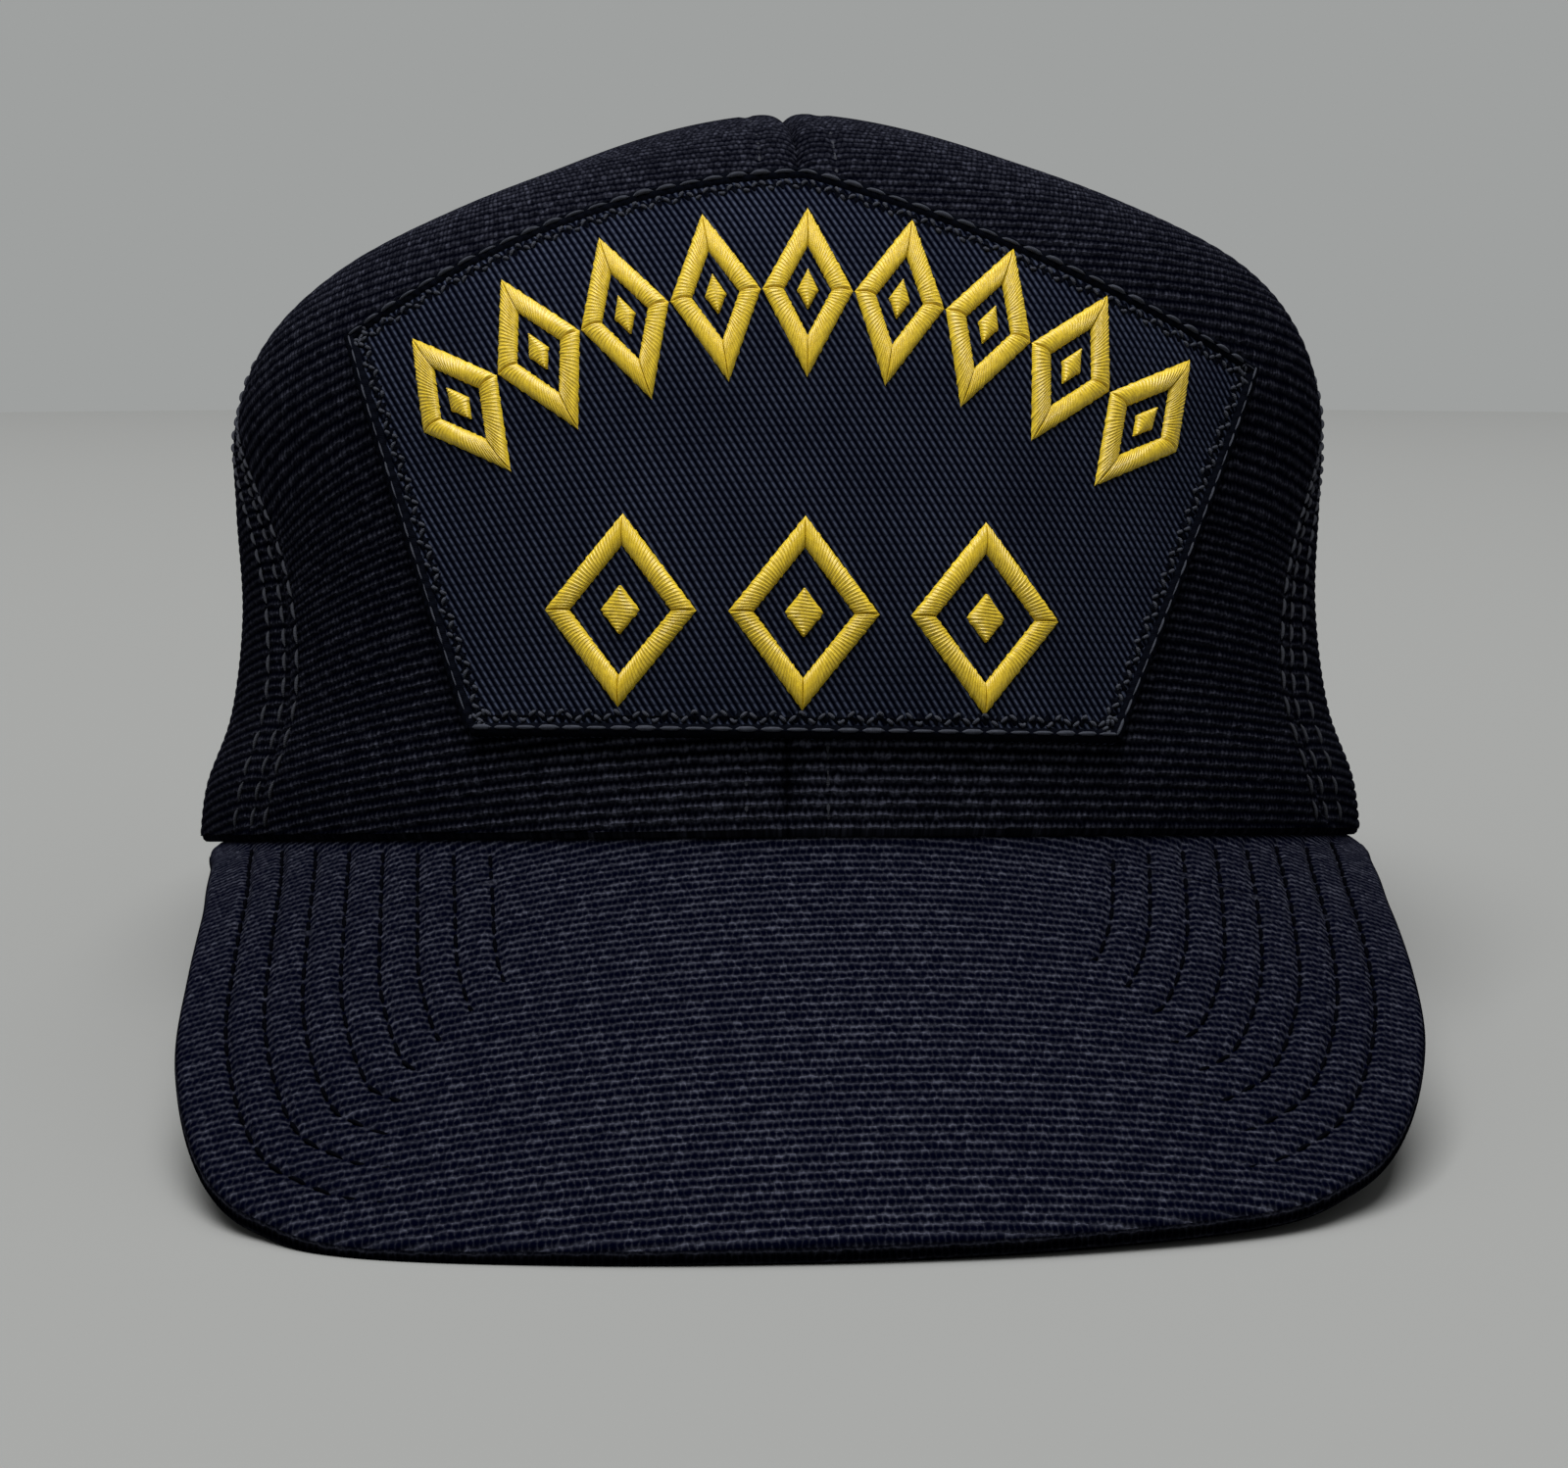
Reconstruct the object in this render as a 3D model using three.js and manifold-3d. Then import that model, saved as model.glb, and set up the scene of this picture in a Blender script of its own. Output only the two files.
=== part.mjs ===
// Six-panel snapback cap: sewn gores, a stiff brim, a cloth patch, a top button and a snap strap.
// Millimetres, +Z up, the front of the cap towards -Y.
// The pieces are shaped in the wearing frame, where the rim lies in the plane z = 0, and the whole
// cap is then tipped back until it rests by itself on its brim edge and the back of its rim.
import * as THREE from "three";
import { mergeVertices } from "three/addons/utils/BufferGeometryUtils.js";
import Module from "manifold-3d";

const wasm = await Module();
wasm.setup();

// Level sections of the crown's outer face, from the rim to the top.
// frontPower is how square the front half of a section is: 2 is an ellipse, more is boxier.
// lean is how far a section lies to the wearer's left, because the soft crown sits a little askew.
const crownSections = [
  { height: 0, halfWidth: 83.5, front: 100, back: 100, frontPower: 2.25, lean: 0 },
  { height: 8, halfWidth: 82.5, front: 100, back: 100, frontPower: 2.25, lean: 0 },
  { height: 18, halfWidth: 79, front: 99.5, back: 99.5, frontPower: 2.25, lean: 0 },
  { height: 32, halfWidth: 77.5, front: 98, back: 98.5, frontPower: 2.25, lean: 0 },
  { height: 47, halfWidth: 78.5, front: 95, back: 97, frontPower: 2.25, lean: 0 },
  { height: 59, halfWidth: 79, front: 92, back: 93.5, frontPower: 2.25, lean: 0.2 },
  { height: 70, halfWidth: 76, front: 87.5, back: 87, frontPower: 2.2, lean: 1 },
  { height: 79, halfWidth: 69, front: 82, back: 79, frontPower: 2.05, lean: 2.1 },
  { height: 86, halfWidth: 57.5, front: 76, back: 70, frontPower: 1.85, lean: 2.1 },
  { height: 91, halfWidth: 46, front: 69, back: 60, frontPower: 1.7, lean: 1.6 },
  { height: 95, halfWidth: 36, front: 58, back: 49, frontPower: 1.7, lean: 0.9 },
  { height: 98.5, halfWidth: 27, front: 43, back: 36, frontPower: 1.75, lean: 0.5 },
  { height: 101, halfWidth: 16, front: 26, back: 22, frontPower: 1.8, lean: 0.2 },
  { height: 103, halfWidth: 2, front: 2, back: 2, frontPower: 2, lean: 0 },
];
const backPower = 2.1;
const topSection = crownSections.length - 1;
const crownHeight = crownSections[topSection].height;

// Where the seams between the gores run, as angles in degrees from the front centre.
const seamCourse = [
  { height: 0, temple: 49.5, rear: 131 },
  { height: 20, temple: 47.5, rear: 130.5 },
  { height: 40, temple: 54.5, rear: 130 },
  { height: 60, temple: 72, rear: 129 },
  { height: 80, temple: 82, rear: 127.5 },
  { height: 103, temple: 85, rear: 126 },
];
const frontSeamTurn = -1.2;
const seamGap = 0.3;
const seamDip = 1.1;
const seamDipWidth = 2.6;
const seamFadeRadius = 25;
const frontWall = 2.2;
const softWall = 1.7;
const goreColumns = 12;
const goreRows = 18;

// The arch cut out of the two back gores, above the strap.
const archHalfWidth = 40;
const archHeight = 46;
const archSteps = 24;

// The brim is one flat board, bent to follow the rim. reach is how far it goes out from the rim on the
// wearer's left and right, from the front centre (share 0) to the temples (share 1), a little askew.
const brimReach = [
  { share: 0, left: 66, right: 66 },
  { share: 0.1, left: 66, right: 67.8 },
  { share: 0.2, left: 66, right: 70 },
  { share: 0.25, left: 63.6, right: 68.2 },
  { share: 0.3, left: 58.9, right: 63.5 },
  { share: 0.4, left: 45.4, right: 47.7 },
  { share: 0.5, left: 32.2, right: 32.7 },
  { share: 0.6, left: 21.9, right: 21.7 },
  { share: 0.7, left: 14.6, right: 14.2 },
  { share: 0.85, left: 7.4, right: 6.6 },
  { share: 1, left: 3.6, right: 2.6 },
];
const brimHalfAngle = 58;
const brimSlope = 37.6;
const brimTempleSlope = 26;
const brimThickness = 3;
const brimRound = brimThickness / 2;
const brimRoundStep = 0.25 * brimRound;
const brimTuck = 2.4;
const brimShoulder = 1;
const brimColumns = 64;
const brimRows = 7;

// The patch as seen from the front: its two corners on the wearer's right and left, and the crest
// between them. It is sewn on slightly turned, and topPower says how round its top falls to each side.
const patchRight = { footAcross: -39, foot: 12.1, cornerAcross: -55.6, corner: 63.4, topPower: 1.85 };
const patchLeft = { footAcross: 37, foot: 10.8, cornerAcross: 58.7, corner: 59.3, topPower: 1.06 };
const patchCrest = 81.6;
const patchThickness = 1.6;
const patchColumns = 22;
const patchRows = 10;

const buttonRadius = 7;
const buttonRise = 4.4;
const buttonDish = 0.35;
const buttonSides = 24;
const buttonSteps = 6;

// The strap lies inside the back gores and closes the arch near the rim.
const strapLow = 4;
const strapHigh = 22;
const strapThickness = 1.5;
const strapOverlap = 30;
const strapHalfLength = 56;
const strapColumns = 28;
const studCount = 7;
const studPitch = 8.5;
const studRadius = 2.2;
const studRise = 0.9;
const studSides = 10;

// Clearance between pieces that are sewn together, and how far cloth is flattened where it rests.
const seatGap = 0.35;
const hemFlat = 0.9;
const brimFlat = 0.9;
const floorSize = 600;
const floorDepth = 40;

const clothFinish = { roughness: 0.95, metalness: 0 };
const crownCloth = new THREE.MeshStandardMaterial({ ...clothFinish, color: 0x14161f });
const brimCloth = new THREE.MeshStandardMaterial({ ...clothFinish, color: 0x1e2230 });
const patchCloth = new THREE.MeshStandardMaterial({ ...clothFinish, color: 0x171b30 });
const strapPlastic = new THREE.MeshStandardMaterial({ color: 0x12141c, roughness: 0.5, metalness: 0 });

const { clamp, degToRad, lerp, smoothstep } = THREE.MathUtils;
const upwards = new THREE.Vector3(0, 0, 1);

const halvings = 40;

// A smooth curve through the rows of a table: every column, at a place counted in rows.
function alongTable(rows, place) {
  const last = rows.length - 1;
  const index = clamp(Math.floor(place), 0, last - 1);
  const part = place - index;
  const around = [index - 1, index, index + 1, index + 2];
  const [before, from, to, after] = around.map((i) => rows[clamp(i, 0, last)]);
  const result = {};
  for (const column of Object.keys(from)) {
    const rise = to[column] - from[column];
    const slopeFrom = (to[column] - before[column]) / 2;
    const slopeTo = (after[column] - from[column]) / 2;
    const square = 3 * rise - 2 * slopeFrom - slopeTo;
    const cube = slopeFrom + slopeTo - 2 * rise;
    result[column] = from[column] + part * (slopeFrom + part * (square + part * cube));
  }
  return result;
}

// The place in a table where one column, which only grows, reaches a value.
function placeInTable(rows, column, value) {
  let low = 0;
  let high = rows.length - 1;
  for (let halving = 0; halving < halvings; halving++) {
    const middle = (low + high) / 2;
    if (alongTable(rows, middle)[column] < value) low = middle;
    else high = middle;
  }
  return (low + high) / 2;
}

// Distance from the crown's axis to its outer face, in one section and direction.
function crownRadius(section, angle) {
  const ahead = Math.cos(angle);
  const reach = ahead >= 0 ? section.front : section.back;
  const power = ahead >= 0 ? section.frontPower : backPower;
  const across = Math.abs(Math.sin(angle)) / section.halfWidth;
  const along = Math.abs(ahead) / reach;
  return (across ** power + along ** power) ** (-1 / power);
}

// A point of the crown's outer face: place counts sections from the rim, angle runs from the front.
function crownPoint(place, angle) {
  const section = alongTable(crownSections, place);
  const radius = crownRadius(section, angle);
  return new THREE.Vector3(radius * Math.sin(angle), -radius * Math.cos(angle), section.height);
}

// The outward direction of the crown's face. At the rim it is level, so that the hem ends flat.
function crownNormal(place, angle) {
  const step = 0.01;
  const below = crownPoint(Math.max(place - step, 0), angle);
  const above = crownPoint(Math.min(place + step, topSection), angle);
  const before = crownPoint(place, angle - step);
  const after = crownPoint(place, angle + step);
  const normal = after.sub(before).cross(above.sub(below));
  if (place === 0) normal.z = 0;
  return normal.normalize();
}

// A point at some height over the crown's face, or under it if the height is negative.
function overCrown(place, angle, height) {
  return crownPoint(place, angle).addScaledVector(crownNormal(place, angle), height);
}

// A closed body between two grids of points that face each other. outer and inner give the point at
// a row and a column, as seen from outside with the rows going up and the columns to the right.
function slab(rows, columns, outer, inner) {
  const points = [];
  for (const side of [outer, inner])
    for (let row = 0; row <= rows; row++)
      for (let column = 0; column <= columns; column++) points.push(side(row, column));
  const width = columns + 1;
  const innerStart = width * (rows + 1);
  const triangles = [];
  const quad = (a, b, c, d) => triangles.push(a, b, c, a, c, d);
  const wall = (a, b) => quad(b, a, a + innerStart, b + innerStart);
  for (let row = 0; row < rows; row++)
    for (let column = 0; column < columns; column++) {
      const near = row * width + column;
      const far = near + innerStart;
      quad(near, near + 1, near + 1 + width, near + width);
      quad(far, far + width, far + width + 1, far + 1);
    }
  for (let column = 0; column < columns; column++) {
    wall(column, column + 1);
    wall(rows * width + column + 1, rows * width + column);
  }
  for (let row = 0; row < rows; row++) {
    wall((row + 1) * width, row * width);
    wall(row * width + columns, (row + 1) * width + columns);
  }
  return new THREE.BufferGeometry().setFromPoints(points).setIndex(triangles);
}

// A geometry as a solid that can be joined and cut.
function solid(geometry) {
  const bare = new THREE.BufferGeometry().setIndex(geometry.index);
  bare.setAttribute("position", geometry.getAttribute("position"));
  const merged = mergeVertices(bare);
  const vertProperties = new Float32Array(merged.attributes.position.array);
  const triVerts = new Uint32Array(merged.index.array);
  return new wasm.Manifold(new wasm.Mesh({ numProp: 3, vertProperties, triVerts }));
}

// A solid as a geometry again.
function geometryOf(body) {
  const { vertProperties, triVerts } = body.getMesh();
  const geometry = new THREE.BufferGeometry();
  geometry.setAttribute("position", new THREE.BufferAttribute(vertProperties, 3));
  return geometry.setIndex(new THREE.BufferAttribute(triVerts, 1));
}

function namedMesh(name, geometry, material) {
  geometry.computeVertexNormals();
  const mesh = new THREE.Mesh(geometry, material);
  mesh.name = name;
  return mesh;
}

// The angle of a seam at a place on the crown, in radians. The front seam is a little off centre.
function seamAngle(seam, place, side) {
  if (seam === "front") return degToRad(frontSeamTurn) * side;
  if (seam === "back") return Math.PI;
  const { height } = alongTable(crownSections, place);
  const course = alongTable(seamCourse, placeInTable(seamCourse, "height", height));
  return degToRad(course[seam]);
}

// One gore between two seams, rolled inwards where it is sewn. side is 1, or -1 for its mirror image.
function gore(fromSeam, toSeam, wall, side) {
  const face = (depth) => (row, column) => {
    const place = (topSection * row) / goreRows;
    const section = alongTable(crownSections, place);
    const seams = [fromSeam, toSeam].map((seam) => seamAngle(seam, place, side));
    const inset = seams.map((seam) => seamGap / 2 / crownRadius(section, seam));
    const step = side > 0 ? column : goreColumns - column;
    const share = 0.5 - 0.5 * Math.cos((Math.PI * step) / goreColumns);
    const angle = lerp(seams[0] + inset[0], seams[1] - inset[1], share);
    const radius = crownRadius(section, angle);
    const toSeamEdge = radius * Math.min(angle - seams[0], seams[1] - angle);
    const fade = Math.min(radius / seamFadeRadius, 1);
    const dip = seamDip * fade * Math.exp(-((toSeamEdge / seamDipWidth) ** 2));
    const point = overCrown(place, angle, -depth - dip);
    return point.setX(side * point.x + section.lean);
  };
  return slab(goreRows, goreColumns, face(0), face(wall));
}

// What is cut out of the back gores for the arch.
function archCutter() {
  const arch = new THREE.Shape().absellipse(0, 0, archHalfWidth, archHeight, 0, 2 * Math.PI);
  const reach = 2 * crownSections[0].back;
  const options = { depth: reach, bevelEnabled: false, curveSegments: archSteps };
  return new THREE.ExtrudeGeometry(arch, options).rotateX(Math.PI / 2).translate(0, reach, 0);
}

// The brim's reach from the right temple to the left one.
const rightReach = brimReach.slice(1).map(({ share, right }) => ({ share: -share, reach: right }));
const leftReach = brimReach.map(({ share, left }) => ({ share, reach: left }));
const wholeBrimReach = [...rightReach.reverse(), ...leftReach];

// A point just under the rim, some way in from the crown's outer face.
function underRim(share, inset) {
  const rim = crownPoint(0, degToRad(brimHalfAngle) * share);
  return rim.setLength(rim.length() - inset).setZ(-seatGap);
}

// The direction from the board's upper face to its lower one, where it leaves the rim.
function brimInward(share) {
  const step = 0.01;
  const after = underRim(share + step, brimShoulder);
  const along = after.sub(underRim(share - step, brimShoulder)).normalize();
  const slope = degToRad(lerp(brimSlope, brimTempleSlope, smoothstep(Math.abs(share), 0, 1)));
  const outwards = along.clone().cross(upwards).multiplyScalar(Math.cos(slope));
  return along.cross(outwards.addScaledVector(upwards, -Math.sin(slope)));
}

// The straight line that the board follows out from the rim: where it meets its neighbouring planes.
function brimLine(share) {
  const step = 0.01;
  const turning = brimInward(share + step).sub(brimInward(share - step));
  return turning.cross(brimInward(share)).normalize();
}

// The brim's upper face: out runs from 0 at the rim to 1 at the outer edge.
function brimPoint(share, out) {
  const { reach } = alongTable(wholeBrimReach, placeInTable(wholeBrimReach, "share", share));
  return underRim(share, brimShoulder).addScaledVector(brimLine(share), out * reach);
}

// How far a rounded edge draws each face in, some way from the edge.
function edgeRounding(fromEdge) {
  const rest = Math.max(1 - fromEdge / brimRound, 0);
  return brimRound * (1 - Math.sqrt(1 - rest * rest));
}

// The brim: rows run from its outer edge to the rim, and the last one is tucked under the gores.
function brimBody() {
  const tuckInward = (share) => brimInward(share).sub(upwards).normalize();
  const face = (lower) => (row, column) => {
    const share = lerp(-1, 1, column / brimColumns);
    if (row > brimRows + 1) {
      const below = lower ? brimThickness : 0;
      return underRim(share, brimTuck).addScaledVector(tuckInward(share), below);
    }
    const length = brimPoint(share, 0).distanceTo(brimPoint(share, 1));
    const pastRound = lerp(brimRound, length, (row - 2) / (brimRows - 1));
    const fromEdge = row < 2 ? row * brimRoundStep : pastRound;
    const out = 1 - fromEdge / length;
    const drawn = edgeRounding(fromEdge);
    const depth = lower ? brimThickness - drawn : drawn;
    return brimPoint(share, out).addScaledVector(brimInward(share), depth);
  };
  return slab(brimRows + 2, brimColumns, face(false), face(true));
}

// The patch, laid over the front gores: it is drawn as seen from the front and follows the crown.
function patchBody() {
  const face = (height) => (row, column) => {
    const up = row / patchRows;
    const toLeft = column / patchColumns;
    const side = lerp(-1, 1, toLeft);
    const { corner, topPower } = side < 0 ? patchRight : patchLeft;
    const top = lerp(patchCrest, corner, Math.abs(side) ** topPower);
    const foot = lerp(patchRight.foot, patchLeft.foot, toLeft);
    const footAcross = lerp(patchRight.footAcross, patchLeft.footAcross, toLeft);
    const cornerAcross = lerp(patchRight.cornerAcross, patchLeft.cornerAcross, toLeft);
    const place = placeInTable(crownSections, "height", lerp(foot, top, up));
    const section = alongTable(crownSections, place);
    const power = section.frontPower;
    const across = lerp(footAcross, cornerAcross, up) - section.lean;
    const ahead = section.front * (1 - Math.abs(across / section.halfWidth) ** power) ** (1 / power);
    const point = overCrown(place, Math.atan2(across, ahead), height);
    return point.setX(point.x + section.lean);
  };
  return slab(patchRows, patchColumns, face(seatGap + patchThickness), face(seatGap));
}

// The button, turned about the crown's axis, with a dished underside.
function buttonBody() {
  const seat = crownHeight + seatGap;
  const low = seat - buttonDish;
  const profile = [new THREE.Vector2(0, seat)];
  for (let step = 0; step <= buttonSteps; step++) {
    const lift = (Math.PI / 2) * (step / buttonSteps);
    profile.push(new THREE.Vector2(buttonRadius * Math.cos(lift), low + buttonRise * Math.sin(lift)));
  }
  profile[profile.length - 1].x = 0;
  return new THREE.LatheGeometry(profile, buttonSides).rotateX(Math.PI / 2);
}

// The closed strap: one band, double where its two ends overlap, with a row of stud heads outside.
function strapBody() {
  const radius = crownSections[0].back;
  const outside = -softWall - seatGap;
  const angleAt = (along) => Math.PI + along / radius;
  const heights = [strapLow, (strapLow + strapHigh) / 2, strapHigh];
  const places = heights.map((height) => placeInTable(crownSections, "height", height));
  const face = (inner) => (row, column) => {
    const along = lerp(-strapHalfLength, strapHalfLength, column / strapColumns);
    const layers = Math.abs(along) < strapOverlap ? 2 : 1;
    return overCrown(places[row], angleAt(along), outside - (inner ? layers * strapThickness : 0));
  };
  const cylinderAxis = new THREE.Vector3(0, 1, 0);
  let band = solid(slab(heights.length - 1, strapColumns, face(false), face(true)));
  for (let stud = 0; stud < studCount; stud++) {
    const angle = angleAt((stud - (studCount - 1) / 2) * studPitch);
    const length = studRise + strapThickness / 2;
    const head = new THREE.CylinderGeometry(studRadius, studRadius, length, studSides);
    const outwards = crownNormal(places[1], angle);
    head.applyQuaternion(new THREE.Quaternion().setFromUnitVectors(cylinderAxis, outwards));
    head.translate(...overCrown(places[1], angle, outside + studRise - length / 2));
    band = band.add(solid(head));
  }
  return geometryOf(band);
}

// The foot of the arch, which the cap rests on, with the brim's front edge.
const backShare = archHalfWidth / crownSections[0].halfWidth;
const backRest = new THREE.Vector3(archHalfWidth, 0, hemFlat);
backRest.y = crownSections[0].back * (1 - backShare ** backPower) ** (1 / backPower);

// How far the cap tips back if the brim touches the ground at one share of its edge.
function tiltAt(share) {
  const roundOut = 1 - brimRound / brimPoint(share, 0).distanceTo(brimPoint(share, 1));
  const foot = brimPoint(share, roundOut).addScaledVector(brimInward(share), brimRound);
  return Math.atan2(backRest.z - foot.z - brimFlat + brimRound, backRest.y - foot.y);
}

// The brim touches where it hangs lowest.
const frontShares = Array.from({ length: brimColumns + 1 }, (_, column) => column / brimColumns - 0.5);
const restTilt = Math.max(...frontShares.map(tiltAt));

// The ground as a block in the wearing frame: its top passes through the two points of rest.
function groundBlock() {
  const ground = new THREE.BoxGeometry(floorSize, floorSize, floorDepth);
  ground.translate(0, 0, -floorDepth / 2);
  return ground.rotateX(restTilt).translate(0, backRest.y, backRest.z);
}

const ground = solid(groundBlock());
const arch = solid(archCutter());
const cap = new THREE.Group();
for (const [hand, side] of [["left", 1], ["right", -1]]) {
  const back = solid(gore("rear", "back", softWall, side)).subtract(arch).subtract(ground);
  cap.add(namedMesh(`front_panel_${hand}`, gore("front", "temple", frontWall, side), crownCloth));
  cap.add(namedMesh(`side_panel_${hand}`, gore("temple", "rear", softWall, side), crownCloth));
  cap.add(namedMesh(`back_panel_${hand}`, geometryOf(back), crownCloth));
}
cap.add(namedMesh("brim", geometryOf(solid(brimBody()).subtract(ground)), brimCloth));
cap.add(namedMesh("patch", patchBody(), patchCloth));
cap.add(namedMesh("top_button", buttonBody(), crownCloth));
cap.add(namedMesh("snap_strap", strapBody(), strapPlastic));

// Tips the cap back onto the ground and centres it on the origin.
cap.rotation.x = -restTilt;
const groundPoint = backRest.clone().applyEuler(cap.rotation);
cap.position.z = -groundPoint.z;
cap.updateMatrixWorld(true);
const extent = new THREE.Box3().setFromObject(cap, true);
cap.position.y = -(extent.min.y + extent.max.y) / 2;

const part = new THREE.Group();
part.add(cap);
export default part;
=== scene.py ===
# Looks of a ribbed-knit snapback cap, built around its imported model.
# Shapes are worked out in millimetres in the wearing frame, where the rim lies in the plane z = 0 and
# the front faces -Y. They are then tipped back onto the floor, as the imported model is, in metres.
import math

import bmesh
import bpy
import numpy as np
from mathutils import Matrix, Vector


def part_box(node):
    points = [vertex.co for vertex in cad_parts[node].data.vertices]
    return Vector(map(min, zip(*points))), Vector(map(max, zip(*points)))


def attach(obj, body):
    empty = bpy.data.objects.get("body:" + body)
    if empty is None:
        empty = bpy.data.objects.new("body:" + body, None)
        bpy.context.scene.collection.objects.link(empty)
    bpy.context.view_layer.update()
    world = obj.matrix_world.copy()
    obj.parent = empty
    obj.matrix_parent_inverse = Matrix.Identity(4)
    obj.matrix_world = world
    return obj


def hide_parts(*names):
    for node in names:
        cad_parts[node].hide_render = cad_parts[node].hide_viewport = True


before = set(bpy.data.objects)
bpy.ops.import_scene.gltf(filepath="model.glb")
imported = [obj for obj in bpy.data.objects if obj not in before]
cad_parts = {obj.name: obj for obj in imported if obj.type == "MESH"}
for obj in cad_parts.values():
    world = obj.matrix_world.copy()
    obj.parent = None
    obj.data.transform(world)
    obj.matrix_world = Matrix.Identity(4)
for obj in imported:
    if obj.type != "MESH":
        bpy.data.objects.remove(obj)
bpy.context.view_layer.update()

# Level sections of the crown's outer face, from the rim to the top. The front power is how square the
# front half of a section is: 2 is an ellipse, more is boxier. The lean is how far a section lies to the
# wearer's left, because the soft crown sits a little askew.
HEIGHT, HALF_WIDTH, FRONT, BACK, FRONT_POWER, LEAN = range(6)
crown_sections = np.array([
    (0, 83.5, 100, 100, 2.25, 0),
    (8, 82.5, 100, 100, 2.25, 0),
    (18, 79, 99.5, 99.5, 2.25, 0),
    (32, 77.5, 98, 98.5, 2.25, 0),
    (47, 78.5, 95, 97, 2.25, 0),
    (59, 79, 92, 93.5, 2.25, 0.2),
    (70, 76, 87.5, 87, 2.2, 1),
    (79, 69, 82, 79, 2.05, 2.1),
    (86, 57.5, 76, 70, 1.85, 2.1),
    (91, 46, 69, 60, 1.7, 1.6),
    (95, 36, 58, 49, 1.7, 0.9),
    (98.5, 27, 43, 36, 1.75, 0.5),
    (101, 16, 26, 22, 1.8, 0.2),
    (103, 2, 2, 2, 2, 0),
])
back_power = 2.1
top_place = len(crown_sections) - 1
crown_height = crown_sections[-1, HEIGHT]

# Where the seams between the gores run, as angles in degrees from the front centre.
SEAM_HEIGHT, TEMPLE, REAR = range(3)
seam_course = np.array([
    (0, 49.5, 131),
    (20, 47.5, 130.5),
    (40, 54.5, 130),
    (60, 72, 129),
    (80, 82, 127.5),
    (103, 85, 126),
])
front_seam_turn = -1.2
seam_fold = 1.4
middle_thread_depth = 0.45
seam_stitch = {"front": 4.8, "temple": 5.2, "rear": 4.8, "back": 4.8}
seam_fold_power = {"front": 4.5, "temple": 2, "rear": 2, "back": 2}
front_thread_depth = 0.5
hem_reach = 3
stitch_groove = 0.3
stitch_groove_width = 0.55
seam_fade_radius = 25
front_wall = 2.2
soft_wall = 1.7
hem_round = 0.8

# How far the ribs of the front gores sink towards the temples on the wearer's left and right, by height:
# the knit lies differently on the two sides. The ribs of the side gores climb towards the front.
DROOP_HEIGHT, DROOP_LEFT, DROOP_RIGHT = range(3)
rib_droop = np.array([
    (0, 0.6, 6),
    (12, 1.8, 8),
    (25, 4.4, 10),
    (45, 5, 11.4),
    (58, 1, 10.8),
    (68, -3, 8),
    (80, -4, 3.6),
    (88, -4.4, 1.3),
    (103, 0, 0),
])
droop_reach = 75
droop_power = 1.7
side_gore_droop = 0.35
rib_climb = {"left": 0.04, "right": 0.12}
rib_pitch = 1.4
rib_rise = 0.3
rows_per_rib = 4
rib_section = np.array([0, 0.8, 1, 0.8])
gore_columns = 60
inner_row_step = 8
round_steps = 6

arch_half_width = 40
arch_height = 46
arch_seam_start = 8

# The brim is one flat board, bent to follow the rim. The table says how far it goes out from the rim on the
# wearer's left and right, from the front centre (share 0) to the temples (share 1), a little askew.
SHARE, REACH_LEFT, REACH_RIGHT = range(3)
brim_reach = np.array([
    (0, 66, 66),
    (0.1, 66, 67.8),
    (0.2, 66, 70),
    (0.25, 63.6, 68.2),
    (0.3, 58.9, 63.5),
    (0.4, 45.4, 47.7),
    (0.5, 32.2, 32.7),
    (0.6, 21.9, 21.7),
    (0.7, 14.6, 14.2),
    (0.85, 7.4, 6.6),
    (1, 3.6, 2.6),
])
right_reach = brim_reach[:0:-1, [SHARE, REACH_RIGHT]] * (-1, 1)
whole_brim_reach = np.concatenate([right_reach, brim_reach[:, [SHARE, REACH_LEFT]]])
brim_half_angle = math.radians(58)
brim_slope = math.radians(37.6)
brim_temple_slope = math.radians(26)
brim_thickness = 3
brim_round = brim_thickness / 2
brim_shoulder = 1
brim_tuck = 2.4
brim_cloth_turn = math.radians(2.2)
board_samples = 401
brim_rib_pitch = 1.31
brim_rib_arch = 0.0007
brim_rib_rise = 0.14
brim_columns = 120
brim_stitch_rows = 8
brim_stitch_first = 6.2
brim_stitch_pitch = 4.45
brim_row_squeeze = 0.88
brim_groove = 0.55
front_groove = 0.15
thread_sink = 0.25
front_thread_sink = 0.6
joint_reach = 2.5
edge_strip_rise = 0.1
edge_strip_start = -0.26 * math.pi
edge_strip_end = 0.4 * math.pi
edge_strip_steps = 12
under_columns = 160
under_rows = 28
under_edge_share = 0.9
rib_arch_rounds = 4
row_samples = 80

# The patch as seen from the front: its foot and its upper corner on the wearer's right and left, and the
# crest between them. The top power says how round its top falls to each side.
FOOT_ACROSS, FOOT, CORNER_ACROSS, CORNER, TOP_POWER = range(5)
patch_right = np.array([-39, 12.1, -55.6, 63.4, 1.85])
patch_left = np.array([37, 10.8, 58.7, 59.3, 1.06])
patch_crest = 81.6
patch_thickness = 1.6
patch_columns = 150
patch_rows = 110
patch_top_squeeze = 0.9
outline_points = 160
sharpest_corner = 0.5
edge_roll_radius = 0.85
edge_roll_inset = 0.8
edge_roll_sink = 0.34
slub_inset = 0.95
slub_level = 0.42
slub_length = 2.6
slub_space = 0.35
slub_radius = 0.28
slub_side_share = 0.35
slub_unevenness = 0.25
slub_wave = 1.7
slub_points = 6
cord_twist = 1.15
cord_relief = 0.07
cord_slant = 1.5
cord_points = 6
cord_sides = 12
patch_stitch_inset = 2.4
braid_swing = 0.65
braid_bed_radius = 1.5
braid_bed_sink = 1.4
braid_step = 1.5
braid_space = 0.35
zigzag_points = 16

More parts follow.
